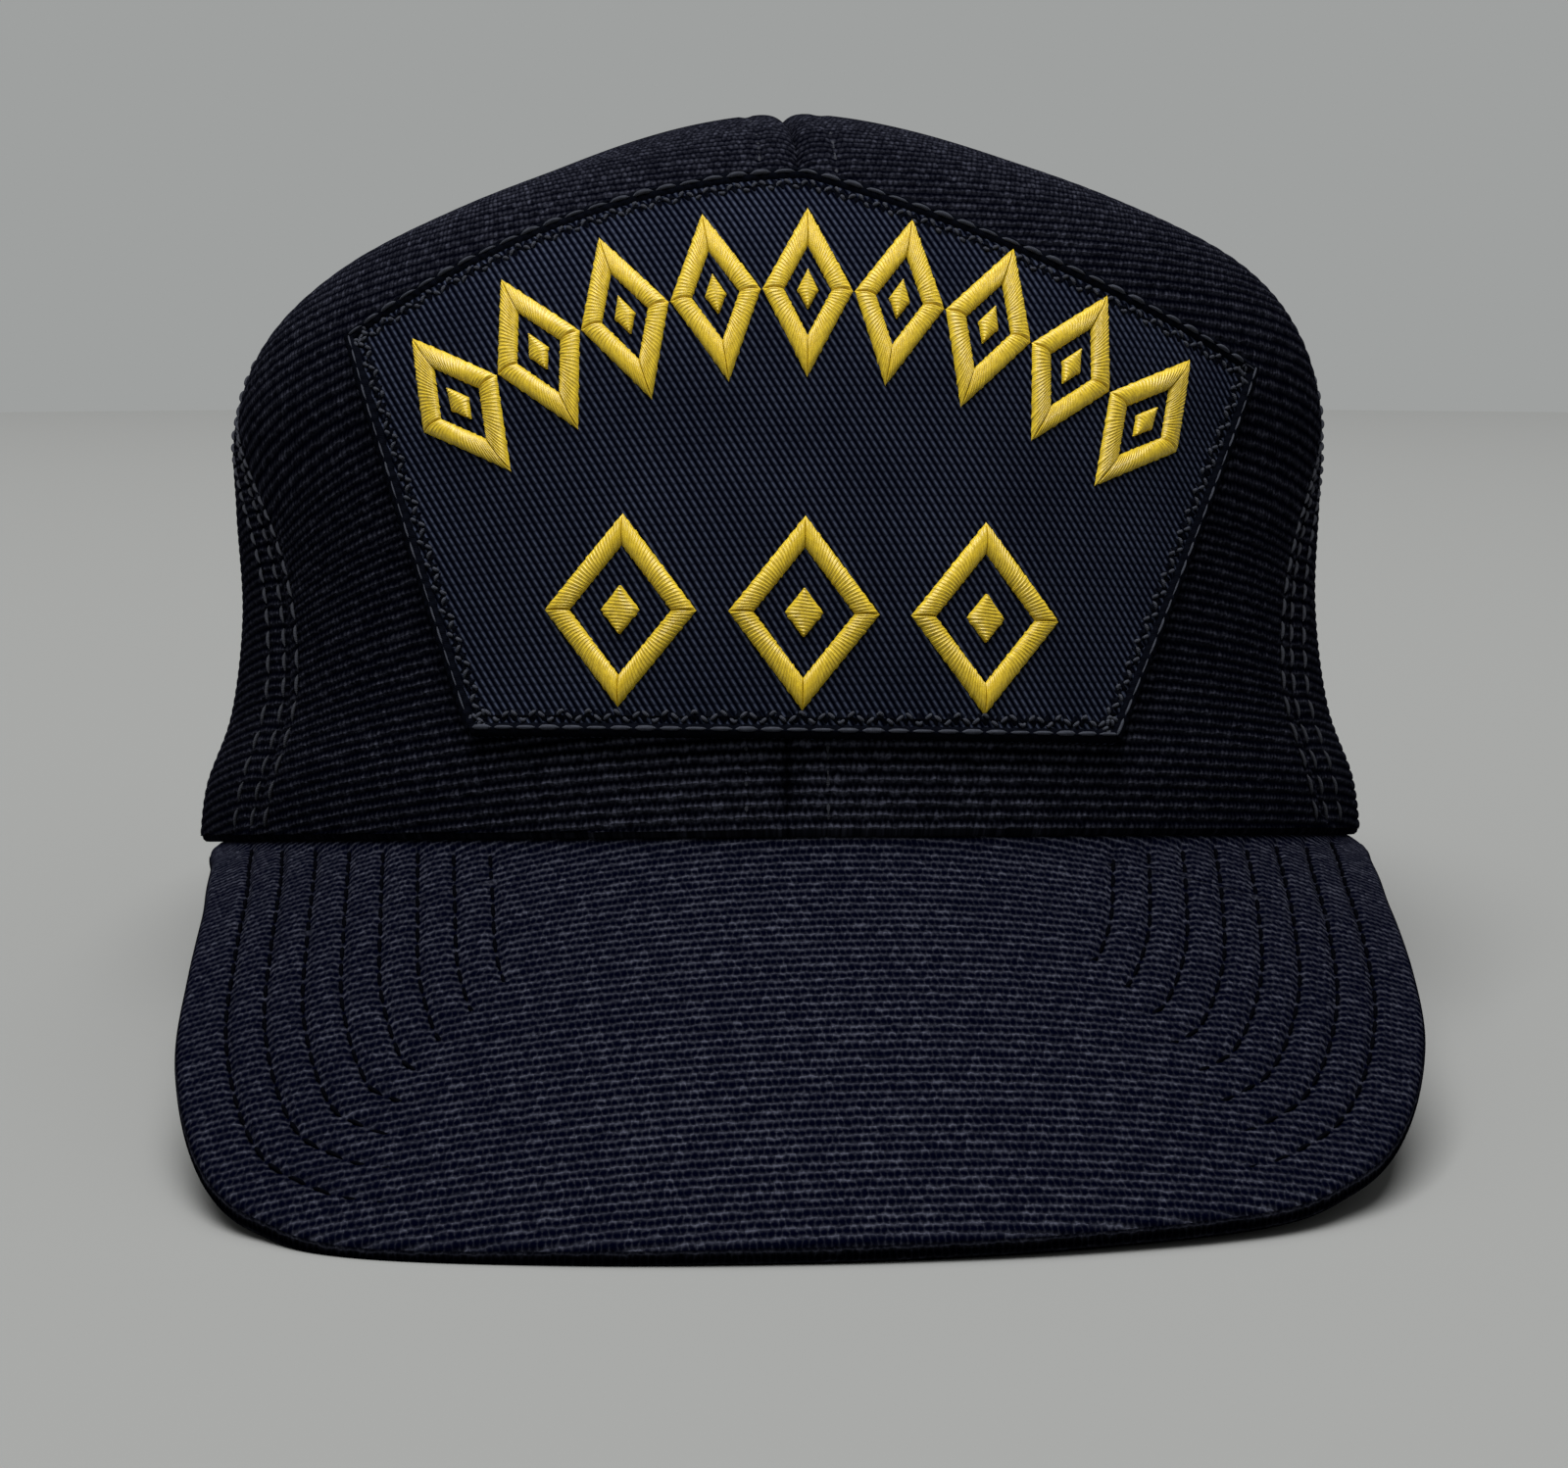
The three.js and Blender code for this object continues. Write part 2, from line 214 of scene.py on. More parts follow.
# The ornament on the patch: an arched row of open lozenges over a straight row of larger ones.
ornament_turn = math.radians(-1.6)
ornament_shift = 0.5
ornament_middle = 45
arch_count = 9
arch_radius = 68
arch_top = 65
arch_step = math.radians(9.2)
arch_lozenge = (8.2, 16.5)
row_count = 3
row_level = 26
row_step = 21
row_lozenge = (14.5, 19)
satin_width = 2.3
satin_rise = 0.75
satin_thread = 0.42
satin_groove = 0.09
satin_slant = 0.35
satin_end = 0.35
satin_unevenness = 0.05
satin_waves = (12.9, 4.1)
satin_points = 4
satin_sides = 8
lozenge_points = 20
kernel_points = 21
kernel_share = 0.3
kernel_blunt = 1.04

thread_radius = 0.24
stitch_length = 2.7
stitch_space = 0.8
stitch_bow = 0.8
stitch_end = 0.02
stitch_end_power = 4
stitch_points = 6
stitch_sides = 6
seam_row_points = 200
seam_row_low = 1
seam_row_top = 3
temple_row_share = 0.8

button_radius = 7
button_rise = 4.4
button_dish = 0.35
button_lift = (-0.12 * math.pi, 0.5 * math.pi)
button_rows = 25
button_columns = 96
gather_count = 16
gather_depth = 0.02
gather_reach = 0.8

strap_low = 4
strap_high = 22
strap_thickness = 1.5
strap_overlap = 30
strap_half_length = 56
strap_middle = 0.5 * (strap_low + strap_high)
strap_flatness = 0.25
strap_edge_power = 0.5
strap_tip = 0.01
strap_tip_taper = 1
strap_columns = 60
strap_sides = 32
stud_count = 7
stud_pitch = 8.5
stud_radius = 2.2
stud_rise = 0.9
stud_edge_power = 3
stud_dome_power = 0.6
stud_rings = 8
stud_sides = 24

seat_gap = 0.35
patch_level = seat_gap + patch_thickness
hem_flat = 0.9
brim_flat = 0.9
rest_reach = 0.5
rest_samples = 65
tip_share = 0.25
small_step = 0.01
same_point = 2e-6
table_samples = 4001
upwards = np.array([0.0, 0.0, 1.0])

# Materials. A grain says how fine a noise is, and how detailed. A fuzz is a grain and its share of the
# relief, and a bump is a depth in millimetres and a strength. Tones run from a material's low colour, 0,
# to its high one, 1. A pale is painted light: how much paler cloth is painted in its middle, where light
# from the front falls, and how far that reaches sideways and up.
loop_length = 0.75
loop_wave = 0.5
crown_stretch = (1.7, 0.8, 0.75)
brim_stretch = (2.8, 0.42, 0.0)
# Painted light on the front gores: a paler middle where light from the front falls.
crown_painted_light = (2.4, 34, 24)
# Painted light on the brim: its middle painted paler, where light from the front falls.
brim_painted_light = (0.5, 46, 200)
# How wide the painted shade in the front seam's crease is.
crease_shade_width = 0.9
knit_roughness = 0.95
wander_grain = 0.5
wave_grain = 0.8
fibre_grain = (2.6, 3.0)
fibre_tones = (-0.4, 1.8)
worn_tone = 0.4
knit_fuzz = (4.5, 0.4)
knit_bump = (0.3, 0.8)
twill_roughness = 0.8
twill_lean = math.radians(30)
twill_pitch = 0.75
twill_line_power = 4.0
float_length = 1.1
float_stagger = 0.38
float_tone = 0.4
fade_grain = 0.09
fade_tones = (0.5, 1.3)
twill_fuzz = (5.0, 0.25)
twill_bump = (0.22, 0.9)
thread_roughness = 0.7
thread_grain = 1.4
thread_tones = (0.05, 0.95)
thread_fuzz = (6.0, 0.4)
thread_bump = (0.06, 0.6)
plastic_roughness = 0.45
plastic_gloss = 0.4
plastic_grain = 0.4
plastic_fuzz = (3.5, 1.0)
plastic_bump = (0.05, 0.5)
gold_roughness = 0.35
gold_gloss = 0.4

# The stage, in metres and watts, and the camera: pixels of the photograph, and its place in the wearing
# frame.
floor_radius = 2.2
floor_sides = 96
floor_colour = (0.17, 0.172, 0.168, 1)
floor_roughness = 0.9
surround_colour = (0.347, 0.356, 0.352, 1)
key_light = {"place": (-0.5, -1.2, 6), "target": (0, 0, 0), "size": 4.5, "watts": 800}
back_light = {"place": (0.3, 2.6, 5), "target": (0.2, 1.6, 0), "size": 3, "watts": 80}
image_width, image_height = 1600, 1498
axis_u, axis_v = 690, 855
focal_pixels = 3066
sensor_width = 36
clip_start = 0.02
eye_place = np.array([-15.0, -450.0, 0.0])


# Shared shapes

def lerp(start, end, share):
    return start + (end - start) * share


def unit(vectors):
    return vectors / np.linalg.norm(vectors, axis=-1, keepdims=True)


def bell(distance, width):
    return np.exp(-((distance / width) ** 2))


def smooth_step(value):
    share = np.clip(value, 0, 1)
    return share * share * (3 - 2 * share)


def eased(count):
    """Shares from 0 to 1 in so many steps, closer together at both ends."""
    return 0.5 - 0.5 * np.cos(np.linspace(0, math.pi, count + 1))


def circle(count):
    """Angles once around in so many steps."""
    return np.linspace(0, 2 * math.pi, count + 1)


def points_of(*coordinates):
    """Points from their coordinates."""
    return np.stack(np.broadcast_arrays(*coordinates), -1)


def path_length(path):
    """How far along a path each of its points lies."""
    return np.concatenate([[0], np.cumsum(np.linalg.norm(np.diff(path, axis=0), axis=-1))])


def along_path(along, length, path):
    """What a path, or its directions, says at some lengths along it."""
    return points_of(*(np.interp(along, length, column) for column in path.T))


def leftwards(directions):
    """Flat directions, each turned to its left."""
    return points_of(-directions[:, 1], directions[:, 0])


def along_table(rows, place):
    """A smooth curve through the rows of a table, at places counted in rows."""
    place = np.asarray(place, float)
    last = len(rows) - 1
    index = np.clip(np.floor(place).astype(int), 0, last - 1)
    part = (place - index)[..., None]
    before, start, end, after = (rows[np.clip(index + i, 0, last)] for i in (-1, 0, 1, 2))
    rise = end - start
    slope_start = (end - before) / 2
    slope_end = (after - start) / 2
    square = 3 * rise - 2 * slope_start - slope_end
    cube = slope_start + slope_end - 2 * rise
    return start + part * (slope_start + part * (square + part * cube))


def place_in_table(rows, column, value):
    """The place in a table where one column, which only grows, reaches a value."""
    places = np.linspace(0, len(rows) - 1, table_samples)
    return np.interp(value, along_table(rows, places)[:, column], places)


def crown_radius(section, angle):
    """Distance from the crown's axis to its outer face."""
    ahead = np.cos(angle)
    in_front = ahead >= 0
    reach = np.where(in_front, section[..., FRONT], section[..., BACK])
    power = np.where(in_front, section[..., FRONT_POWER], back_power)
    across = np.abs(np.sin(angle)) / section[..., HALF_WIDTH]
    along = np.abs(ahead) / reach
    return (across ** power + along ** power) ** (-1 / power)


def crown_point(place, angle):
    """A point of the crown's outer face: place counts sections from the rim, angle runs from the front."""
    place, angle = np.broadcast_arrays(place, angle)
    section = along_table(crown_sections, place)
    radius = crown_radius(section, angle)
    return points_of(radius * np.sin(angle), -radius * np.cos(angle), section[..., HEIGHT])


def crown_normal(place, angle):
    below = crown_point(np.maximum(place - small_step, 0), angle)
    above = crown_point(np.minimum(place + small_step, top_place), angle)
    before = crown_point(place, angle - small_step)
    after = crown_point(place, angle + small_step)
    return unit(np.cross(after - before, above - below))


def over_crown(place, angle, height):
    """A point at some height over the crown's face, or under it if the height is negative."""
    return crown_point(place, angle) + crown_normal(place, angle) * np.asarray(height)[..., None]


def height_place(height):
    return place_in_table(crown_sections, HEIGHT, height)


def by_rim(share, inset, height):
    """A point some way in from the rim's outer face, over or under the rim."""
    rim = crown_point(np.zeros_like(share), brim_half_angle * share)
    inner = rim - unit(rim) * inset
    inner[..., 2] = height
    return inner


def under_rim(share):
    """The brim's inner end, just under the rim."""
    return by_rim(share, brim_shoulder, -seat_gap)


def brim_inward(share):
    """The direction from the board's upper face to its lower one, where it leaves the rim."""
    along = unit(under_rim(share + small_step) - under_rim(share - small_step))
    slope = lerp(brim_slope, brim_temple_slope, smooth_step(np.abs(share)))[..., None]
    outwards = np.cross(along, upwards) * np.cos(slope) - upwards * np.sin(slope)
    return np.cross(along, outwards)


def brim_line(share):
    """The straight line that the board follows out from the rim: where it meets its neighbouring planes."""
    turning = brim_inward(share + small_step) - brim_inward(share - small_step)
    return unit(np.cross(turning, brim_inward(share)))


def brim_length(share):
    return along_table(whole_brim_reach, place_in_table(whole_brim_reach, SHARE, share))[..., 1]


def brim_point(share, out, depth=0):
    """A point some depth under the brim's upper face: out runs from 0 at the rim to 1 at the outer edge."""
    face = under_rim(share) + brim_line(share) * (out * brim_length(share))[..., None]
    return face + brim_inward(share) * np.asarray(depth)[..., None]


def flat_board(share):
    """The board laid flat again: its rim and its outer edge, as complex numbers. The real part runs
    sideways along its cloth and the imaginary part forward."""
    rim = under_rim(share)
    line = brim_line(share)
    step = np.diff(rim, axis=0)
    stride = np.linalg.norm(step, axis=-1)
    before = np.arccos(np.sum(unit(step) * line[:-1], -1))
    after = np.arccos(np.sum(unit(step) * line[1:], -1))
    turn = np.concatenate([[0], np.cumsum(after - before)])
    path = np.concatenate([[0], np.cumsum(stride * np.exp(1j * (turn[:-1] - before)))])
    middle = len(share) // 2
    spin = np.exp(1j * (math.pi / 2 - turn[middle] + brim_cloth_turn))
    flat_rim = (path - path[middle]) * spin
    return flat_rim, flat_rim + brim_length(share) * np.exp(1j * turn) * spin


def rib_place(flat):
    """How far forward a flat point lies across the ribs of the brim, which arch a little."""
    return flat.imag - brim_rib_arch * flat.real ** 2


def distance_to(points, path):
    """The shortest distance from each flat point to a path of flat points, and how far forward the path runs
    there: from 0 for sideways to 1 for straight forward."""
    step = np.diff(path)
    forward = np.abs(step.imag) / np.abs(step)
    distance, course = np.empty((2, *points.shape))
    for row, part in enumerate(points):
        gap = part[:, None] - path[:-1]
        share = np.clip((gap * step.conj()).real / np.abs(step) ** 2, 0, 1)
        off = np.abs(gap - share * step)
        nearest = off.argmin(-1)
        distance[row] = off[np.arange(len(part)), nearest]
        course[row] = forward[nearest]
    return distance, course


def row_distance(points, edge):
    """How far flat points lie from the brim's edge, as its rows of stitching count it, and how far forward a
    row runs there. The rows lie a little further apart in front than at the sides."""
    squeezed = [flat.real + 1j * brim_row_squeeze * flat.imag for flat in (points, edge)]
    return distance_to(*squeezed)


def edge_squareness(share):
    """How squarely the straight lines of the board meet its outer edge: 1 is square."""
    rim, edge = flat_board(share)
    along = np.gradient(edge)
    across = edge - rim
    return np.abs((along.conj() * across).imag) / np.abs(along * across)


def edge_rounding(from_edge):
    """How far the brim's rounded edge draws each face in."""
    rest = np.maximum(1 - from_edge / brim_round, 0)
    return brim_round * (1 - np.sqrt(1 - rest ** 2))


def resting_place():
    """The tilt of the resting cap and its shifts along Y and Z. It rests on the foot of the back arch and
    on the brim's edge, where that hangs lowest."""
    share = np.linspace(-rest_reach, rest_reach, rest_samples)
    length = brim_length(share)
    foot = brim_point(share, 1 - brim_round / length, brim_round)
    back_share = arch_half_width / crown_sections[0, HALF_WIDTH]
    back_y = crown_sections[0, BACK] * (1 - back_share ** back_power) ** (1 / back_power)
    drop = hem_flat - foot[:, 2] - brim_flat + brim_round
    tilt = np.arctan2(drop, back_y - foot[:, 1]).max()
    rise = back_y * math.sin(tilt) - hem_flat * math.cos(tilt)
    from_edge = np.array([[0], [tip_share * brim_round]])
    tip = brim_point(share, 1 - from_edge / length, edge_rounding(from_edge))
    tip_y = tip[..., 1] * math.cos(tilt) + tip[..., 2] * math.sin(tilt)
    return tilt, 1000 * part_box("brim")[0].y - tip_y.min(), rise


rest_tilt, rest_shift, rest_rise = resting_place()


def turn_to_rest(vectors):
    x, y, z = np.moveaxis(vectors, -1, 0)
    cosine, sine = math.cos(rest_tilt), math.sin(rest_tilt)
    return points_of(x, y * cosine + z * sine, z * cosine - y * sine)


def to_rest(points):
    """From millimetres in the wearing frame to metres on the floor, which flattens what would sink in."""
    rested = turn_to_rest(points) + (0, rest_shift, rest_rise)
    rested[..., 2] = np.maximum(rested[..., 2], 0)
    return rested / 1000


# Meshes

def grid_faces(shape):
    """The quads of one grid of points, or of a stack of grids."""
    index = np.arange(np.prod(shape)).reshape(shape)
    corners = [index[..., :-1, :-1], index[..., :-1, 1:], index[..., 1:, 1:], index[..., 1:, :-1]]
    return np.stack(corners, -1).reshape(-1, 4)


def weld(mesh):
    """Joins points that lie on each other, which also drops the empty faces between them."""
    body = bmesh.new()
    body.from_mesh(mesh)
    bmesh.ops.remove_doubles(body, verts=body.verts, dist=same_point)
    body.to_mesh(mesh)
    body.free()


def add_object(name, data):
    made = bpy.data.objects.new(name, data)
    bpy.context.scene.collection.objects.link(made)
    return made


def add_aimed(name, data, place, direction):
    """Adds a light or a camera that looks in some direction."""
    made = add_object(name, data)
    made.location = place
    made.rotation_mode = "QUATERNION"
    made.rotation_quaternion = Vector(direction).to_track_quat("-Z", "Y")
    return made


def make_piece(name, grids, material, nodes=()):
    """A piece made of grids of points. Each grid is its points, its cloth coordinates in millimetres
    and whether its faces are turned over."""
    points, cloth, faces = [], [], []
    start = 0
    for grid, spread, turned in grids:
        quads = grid_faces(grid.shape[:-1])
        faces.append(start + (quads[:, ::-1] if turned else quads))
        points.append(to_rest(grid).reshape(-1, 3))
        cloth.append(np.broadcast_to(spread, grid.shape[:-1] + (2,)).reshape(-1, 2))
        start += len(points[-1])
    mesh = bpy.data.meshes.new(name)
    mesh.from_pydata(np.concatenate(points).tolist(), [], np.concatenate(faces).tolist())
    corners = np.empty(len(mesh.loops), np.int32)
    mesh.loops.foreach_get("vertex_index", corners)
    layer = mesh.uv_layers.new(name="cloth")
    layer.data.foreach_set("uv", np.concatenate(cloth)[corners].astype(np.float32).ravel())
    weld(mesh)
    mesh.shade_smooth()
    mesh.materials.append(material)
    piece = add_object(name, mesh)
    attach(piece, "root")
    if nodes:
        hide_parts(*nodes)


# Materials

def link_or_set(tree, socket, value):
    if isinstance(value, bpy.types.NodeSocket):
        tree.links.new(value, socket)
    else:
        socket.default_value = value


def maths(tree, operation, *values):
    node = tree.nodes.new("ShaderNodeMath")
    node.operation = operation
    for socket, value in zip(node.inputs, values):
        link_or_set(tree, socket, value)
    return node.outputs[0]


def between(tree, share, low, high):
    """From low to high as a share goes from 0 to 1."""
    return maths(tree, "MULTIPLY_ADD", share, high - low, low)


def paint(tree, shader, tone, low, high):
    """Colours a surface from low to high by its tone."""
    node = tree.nodes.new("ShaderNodeMix")
    node.data_type = "RGBA"
    tree.links.new(tone, node.inputs["Factor"])
    colours = [socket for socket in node.inputs if socket.type == "RGBA"]
    colours[0].default_value = (*low, 1)
    colours[1].default_value = (*high, 1)
    mixed = next(socket for socket in node.outputs if socket.type == "RGBA")
    tree.links.new(mixed, shader.inputs["Base Color"])


def noise(tree, vector, grain, detail=2.0):
    node = tree.nodes.new("ShaderNodeTexNoise")
    node.inputs["Scale"].default_value = grain
    node.inputs["Detail"].default_value = detail
    tree.links.new(vector, node.inputs["Vector"])
    return node.outputs["Fac"]


def cloth_coordinates(tree):
    """The cloth coordinates in millimetres: both together, along and across."""
    uv = tree.nodes.new("ShaderNodeUVMap")
    uv.uv_map = "cloth"
    parts = tree.nodes.new("ShaderNodeSeparateXYZ")
    tree.links.new(uv.outputs["UV"], parts.inputs[0])
    return uv.outputs["UV"], parts.outputs["X"], parts.outputs["Y"]


def hump(tree, value):
    """A row of round humps, one for each whole step of the value."""
    return maths(tree, "SINE", maths(tree, "MULTIPLY", maths(tree, "FRACT", value), math.pi))


def cell_chance(tree, row, column):
    """A fixed random number for each cell of a pattern."""
    pair = tree.nodes.new("ShaderNodeCombineXYZ")
    tree.links.new(row, pair.inputs["X"])
    tree.links.new(column, pair.inputs["Y"])
    node = tree.nodes.new("ShaderNodeTexWhiteNoise")
    tree.links.new(pair.outputs[0], node.inputs["Vector"])
    return node.outputs["Value"]


def new_material(name, roughness, gloss=0.0):
    material = bpy.data.materials.new(name)
    material.use_nodes = True
    shader = material.node_tree.nodes["Principled BSDF"]
    shader.inputs["Roughness"].default_value = roughness
    shader.inputs["Specular IOR Level"].default_value = gloss
    return material, material.node_tree, shader


def add_relief(tree, shader, both, height, fuzz, bump):
    """Bumps a surface by its height, with a fine fuzz over it."""
    grain, share = fuzz
    node = tree.nodes.new("ShaderNodeBump")
    depth, node.inputs["Strength"].default_value = bump
    node.inputs["Distance"].default_value = depth / 1000
    relief = maths(tree, "MULTIPLY_ADD", noise(tree, both, grain), share, height)
    tree.links.new(relief, node.inputs["Height"])
    tree.links.new(node.outputs["Normal"], shader.inputs["Normal"])


def painted_light_middle(tree, along, up, pale):
    """Painted light: how much paler the cloth is painted in its middle, near its lower edge, where light from
    the front falls.
    """
    gain, half_width, rise = pale
    squares = []
    for value, reach in ((along, half_width), (up, rise)):
        share = maths(tree, "DIVIDE", value, reach)
        squares.append(maths(tree, "MULTIPLY", share, share))
    near = maths(tree, "EXPONENT", maths(tree, "MULTIPLY", maths(tree, "ADD", *squares), -1.0))
    return maths(tree, "MULTIPLY", near, gain)


def crease_shade_mask(tree, along):
    """Painted shade in the front seam's crease: 0 where the seam folds in, a narrow line left without painted
    light, and 1 beside it.
    """
    seam = math.radians(front_seam_turn) * crown_sections[0, FRONT]
    from_seam = maths(tree, "ABSOLUTE", maths(tree, "SUBTRACT", along, seam))
    return maths(tree, "MINIMUM", maths(tree, "DIVIDE", from_seam, crease_shade_width), 1.0)


def knit_material(name, pitch, stretch, low, high, pale=None, crease_shaded=False):
    """Ribbed double knit: wavy ribs of loops, each with its own tone, and dark holes between the ribs. The
    stretch says how thin the ribs are, how far the furrows stay open between two holes and how far a rib
    darkens between two loops."""
    thin, bridge, dash = stretch
    material, tree, shader = new_material(name, knit_roughness)
    both, along, across = cloth_coordinates(tree)
    wander = noise(tree, both, wander_grain)
    wave = maths(tree, "MULTIPLY", noise(tree, both, wave_grain), loop_wave)
    row = maths(tree, "MULTIPLY_ADD", across, 1 / pitch, wave)

    def loops(number):
        """Counts the loops along a rib, or the holes along a furrow, staggered from one to the next."""
        stagger = maths(tree, "MULTIPLY_ADD", number, 0.5, wander)
        return maths(tree, "MULTIPLY_ADD", along, 1 / loop_length, stagger)

    rib = maths(tree, "FLOOR", row)
    furrow = maths(tree, "ADD", row, 0.5)
    hole = between(tree, hump(tree, loops(maths(tree, "FLOOR", furrow))), bridge, 1)
    strand = maths(tree, "SUBTRACT", 1.0, maths(tree, "MULTIPLY", hole, hump(tree, furrow)))
    loop = loops(rib)
    head = between(tree, hump(tree, loop), 1 - dash, 1)
    chance = cell_chance(tree, rib, maths(tree, "FLOOR", loop))
    worn = between(tree, maths(tree, "POWER", chance, 2.0), worn_tone, 1)
    fibre = between(tree, noise(tree, both, *fibre_grain), *fibre_tones)
    yarn = maths(tree, "MULTIPLY", maths(tree, "POWER", strand, thin), head)
    tone = maths(tree, "MULTIPLY", maths(tree, "MULTIPLY", yarn, worn), fibre)
    # Painted light: the middle of the cloth is painted paler, where light from the front falls.
    if pale:
        gain = painted_light_middle(tree, along, across, pale)
        # Painted shade: no painted light in the front seam's crease, so a dark line lies where the fold is in
        # shade.
        if crease_shaded:
            gain = maths(tree, "MULTIPLY", gain, crease_shade_mask(tree, along))
        tone = maths(tree, "MULTIPLY_ADD", tone, gain, tone)
    paint(tree, shader, tone, low, high)
    add_relief(tree, shader, both, strand, knit_fuzz, knit_bump)
    return material


def twill_material(name, low, high):
    """Steep diagonal twill lines, each broken into short floats."""
    material, tree, shader = new_material(name, twill_roughness)
    both, along, up = cloth_coordinates(tree)
    sine, cosine = math.sin(twill_lean), math.cos(twill_lean)

    def steps(by_along, by_up):
        return maths(tree, "MULTIPLY_ADD", up, by_up, maths(tree, "MULTIPLY", along, by_along))

    line = steps(cosine / twill_pitch, sine / twill_pitch)
    run = steps(-sine / float_length, cosine / float_length)
    staggered = maths(tree, "MULTIPLY_ADD", maths(tree, "FLOOR", line), float_stagger, run)
    thread = between(tree, hump(tree, staggered), float_tone, 1)
    strand = maths(tree, "MULTIPLY", maths(tree, "POWER", hump(tree, line), twill_line_power), thread)
    fade = between(tree, noise(tree, both, fade_grain), *fade_tones)
    paint(tree, shader, maths(tree, "MULTIPLY", strand, fade), low, high)
    add_relief(tree, shader, both, strand, twill_fuzz, twill_bump)
    return material


def thread_material(name, low, high, roughness=thread_roughness, gloss=0.0):
    """Spun thread: fine lines across the stitch and small changes of tone from thread to thread."""
    material, tree, shader = new_material(name, roughness, gloss)
    both, along, _ = cloth_coordinates(tree)
    fibre = hump(tree, maths(tree, "DIVIDE", along, 0.5 * satin_thread))
    paint(tree, shader, between(tree, noise(tree, both, thread_grain), *thread_tones), low, high)
    add_relief(tree, shader, both, fibre, thread_fuzz, thread_bump)
    return material


def plastic_material(name, low, high):
    """Moulded plastic with a fine satin grain."""
    material, tree, shader = new_material(name, plastic_roughness, plastic_gloss)
    both, _, _ = cloth_coordinates(tree)
    paint(tree, shader, noise(tree, both, plastic_grain), low, high)
    add_relief(tree, shader, both, 0.0, plastic_fuzz, plastic_bump)
    return material


crown_colours = (0.0001, 0.0002, 0.0012), (0.046, 0.048, 0.067)
crown_knit = knit_material("crown_knit", rib_pitch, crown_stretch, *crown_colours)
# The front gores' knit is a copy of the crown's knit with painted light in its middle and painted shade in
# the front seam's crease.
front_knit_painted_light = knit_material("front_knit_painted_light", rib_pitch, crown_stretch, *crown_colours, crown_painted_light, crease_shaded=True)
# The brim's knit is painted paler in its middle too: painted light from the front.
brim_knit = knit_material(
    "brim_knit", brim_rib_pitch, brim_stretch, (0.0002, 0.0004, 0.0028), (0.039, 0.041, 0.056), brim_painted_light)
# The edge knit is the brim's knit painted darker: painted shade on the roll around the brim's edge.
shaded_edge_knit = knit_material(
    "shaded_edge_knit", brim_rib_pitch, brim_stretch, (0.0002, 0.0003, 0.001), (0.02, 0.021, 0.029))
patch_twill = twill_material("patch_twill", (0.0002, 0.0004, 0.002), (0.035, 0.042, 0.067))
seam_thread = thread_material("seam_thread", (0.007, 0.0075, 0.01), (0.045, 0.047, 0.056))
# The brim's thread is painted near black, darker than the cloth, so its rows also stand for the shade in the
# furrows they pinch.
brim_thread_and_shade = thread_material("brim_thread_and_shade", (0.0002, 0.0002, 0.0004), (0.0016, 0.0018, 0.003))
edge_thread = thread_material("edge_thread", (0.0006, 0.0007, 0.0012), (0.003, 0.0035, 0.006))
braid_thread = thread_material("braid_thread", (0.006, 0.007, 0.01), (0.06, 0.064, 0.08))
gold_thread = thread_material(
    "gold_thread", (0.22, 0.14, 0.003), (0.75, 0.54, 0.03), gold_roughness, gold_gloss)
strap_plastic = plastic_material("strap_plastic", (0.004, 0.005, 0.008), (0.008, 0.01, 0.015))


# Crown

def seam_angle(seam, height, section, side):
    """The angle of a seam, in radians. The back one follows the edge of the arch below its top."""
    if seam == "front":
        return np.full_like(height, math.radians(front_seam_turn) * side)
    if seam == "back":
        arch = arch_half_width * np.sqrt(np.maximum(1 - (height / arch_height) ** 2, 0))
        across = arch / section[..., HALF_WIDTH]
        behind = section[..., BACK] * (1 - across ** back_power) ** (1 / back_power)
        return math.pi - np.arctan2(arch, behind)
    course = along_table(seam_course, place_in_table(seam_course, SEAM_HEIGHT, height))
    return np.radians(course[..., TEMPLE if seam == "temple" else REAR])


def rib_levels(axis, below):
    """Heights of a gore's rows along its middle line, a few to each rib, and how far up the cloth each lies.
    Some rows start below the hem, where the ribs climb."""
    line = crown_point(np.linspace(0, top_place, table_samples), axis)
    length = path_length(line)
    first = -math.ceil(below / rib_pitch) * rib_pitch
    up = np.arange(first, length[-1] - hem_round, rib_pitch / rows_per_rib)
    return np.where(up < 0, hem_round + up, np.interp(up + hem_round, length, line[:, 2])), up


def rib_relief(rows, rise):
    """How far each row of points along the ribs stands out from the cloth."""
    return rise * (np.resize(rib_section, rows)[:, None] - 0.5)


def seam_sewing(distance, seam, fold):
    """How deep the cloth is drawn in near a seam: folded into it, and pulled down at the topstitching."""
    stitch = seam_stitch[seam]
    folded = seam_fold * fold * np.maximum(1 - distance / stitch, 0) ** seam_fold_power[seam]
    return folded + stitch_groove * bell(distance - stitch, stitch_groove_width)


def on_side(points, place, side):
    """Points of the crown's left half as they lie on one side, with the crown's lean."""
    sided = points * (side, 1, 1)
    sided[..., 0] += along_table(crown_sections, place)[..., LEAN]
    return sided


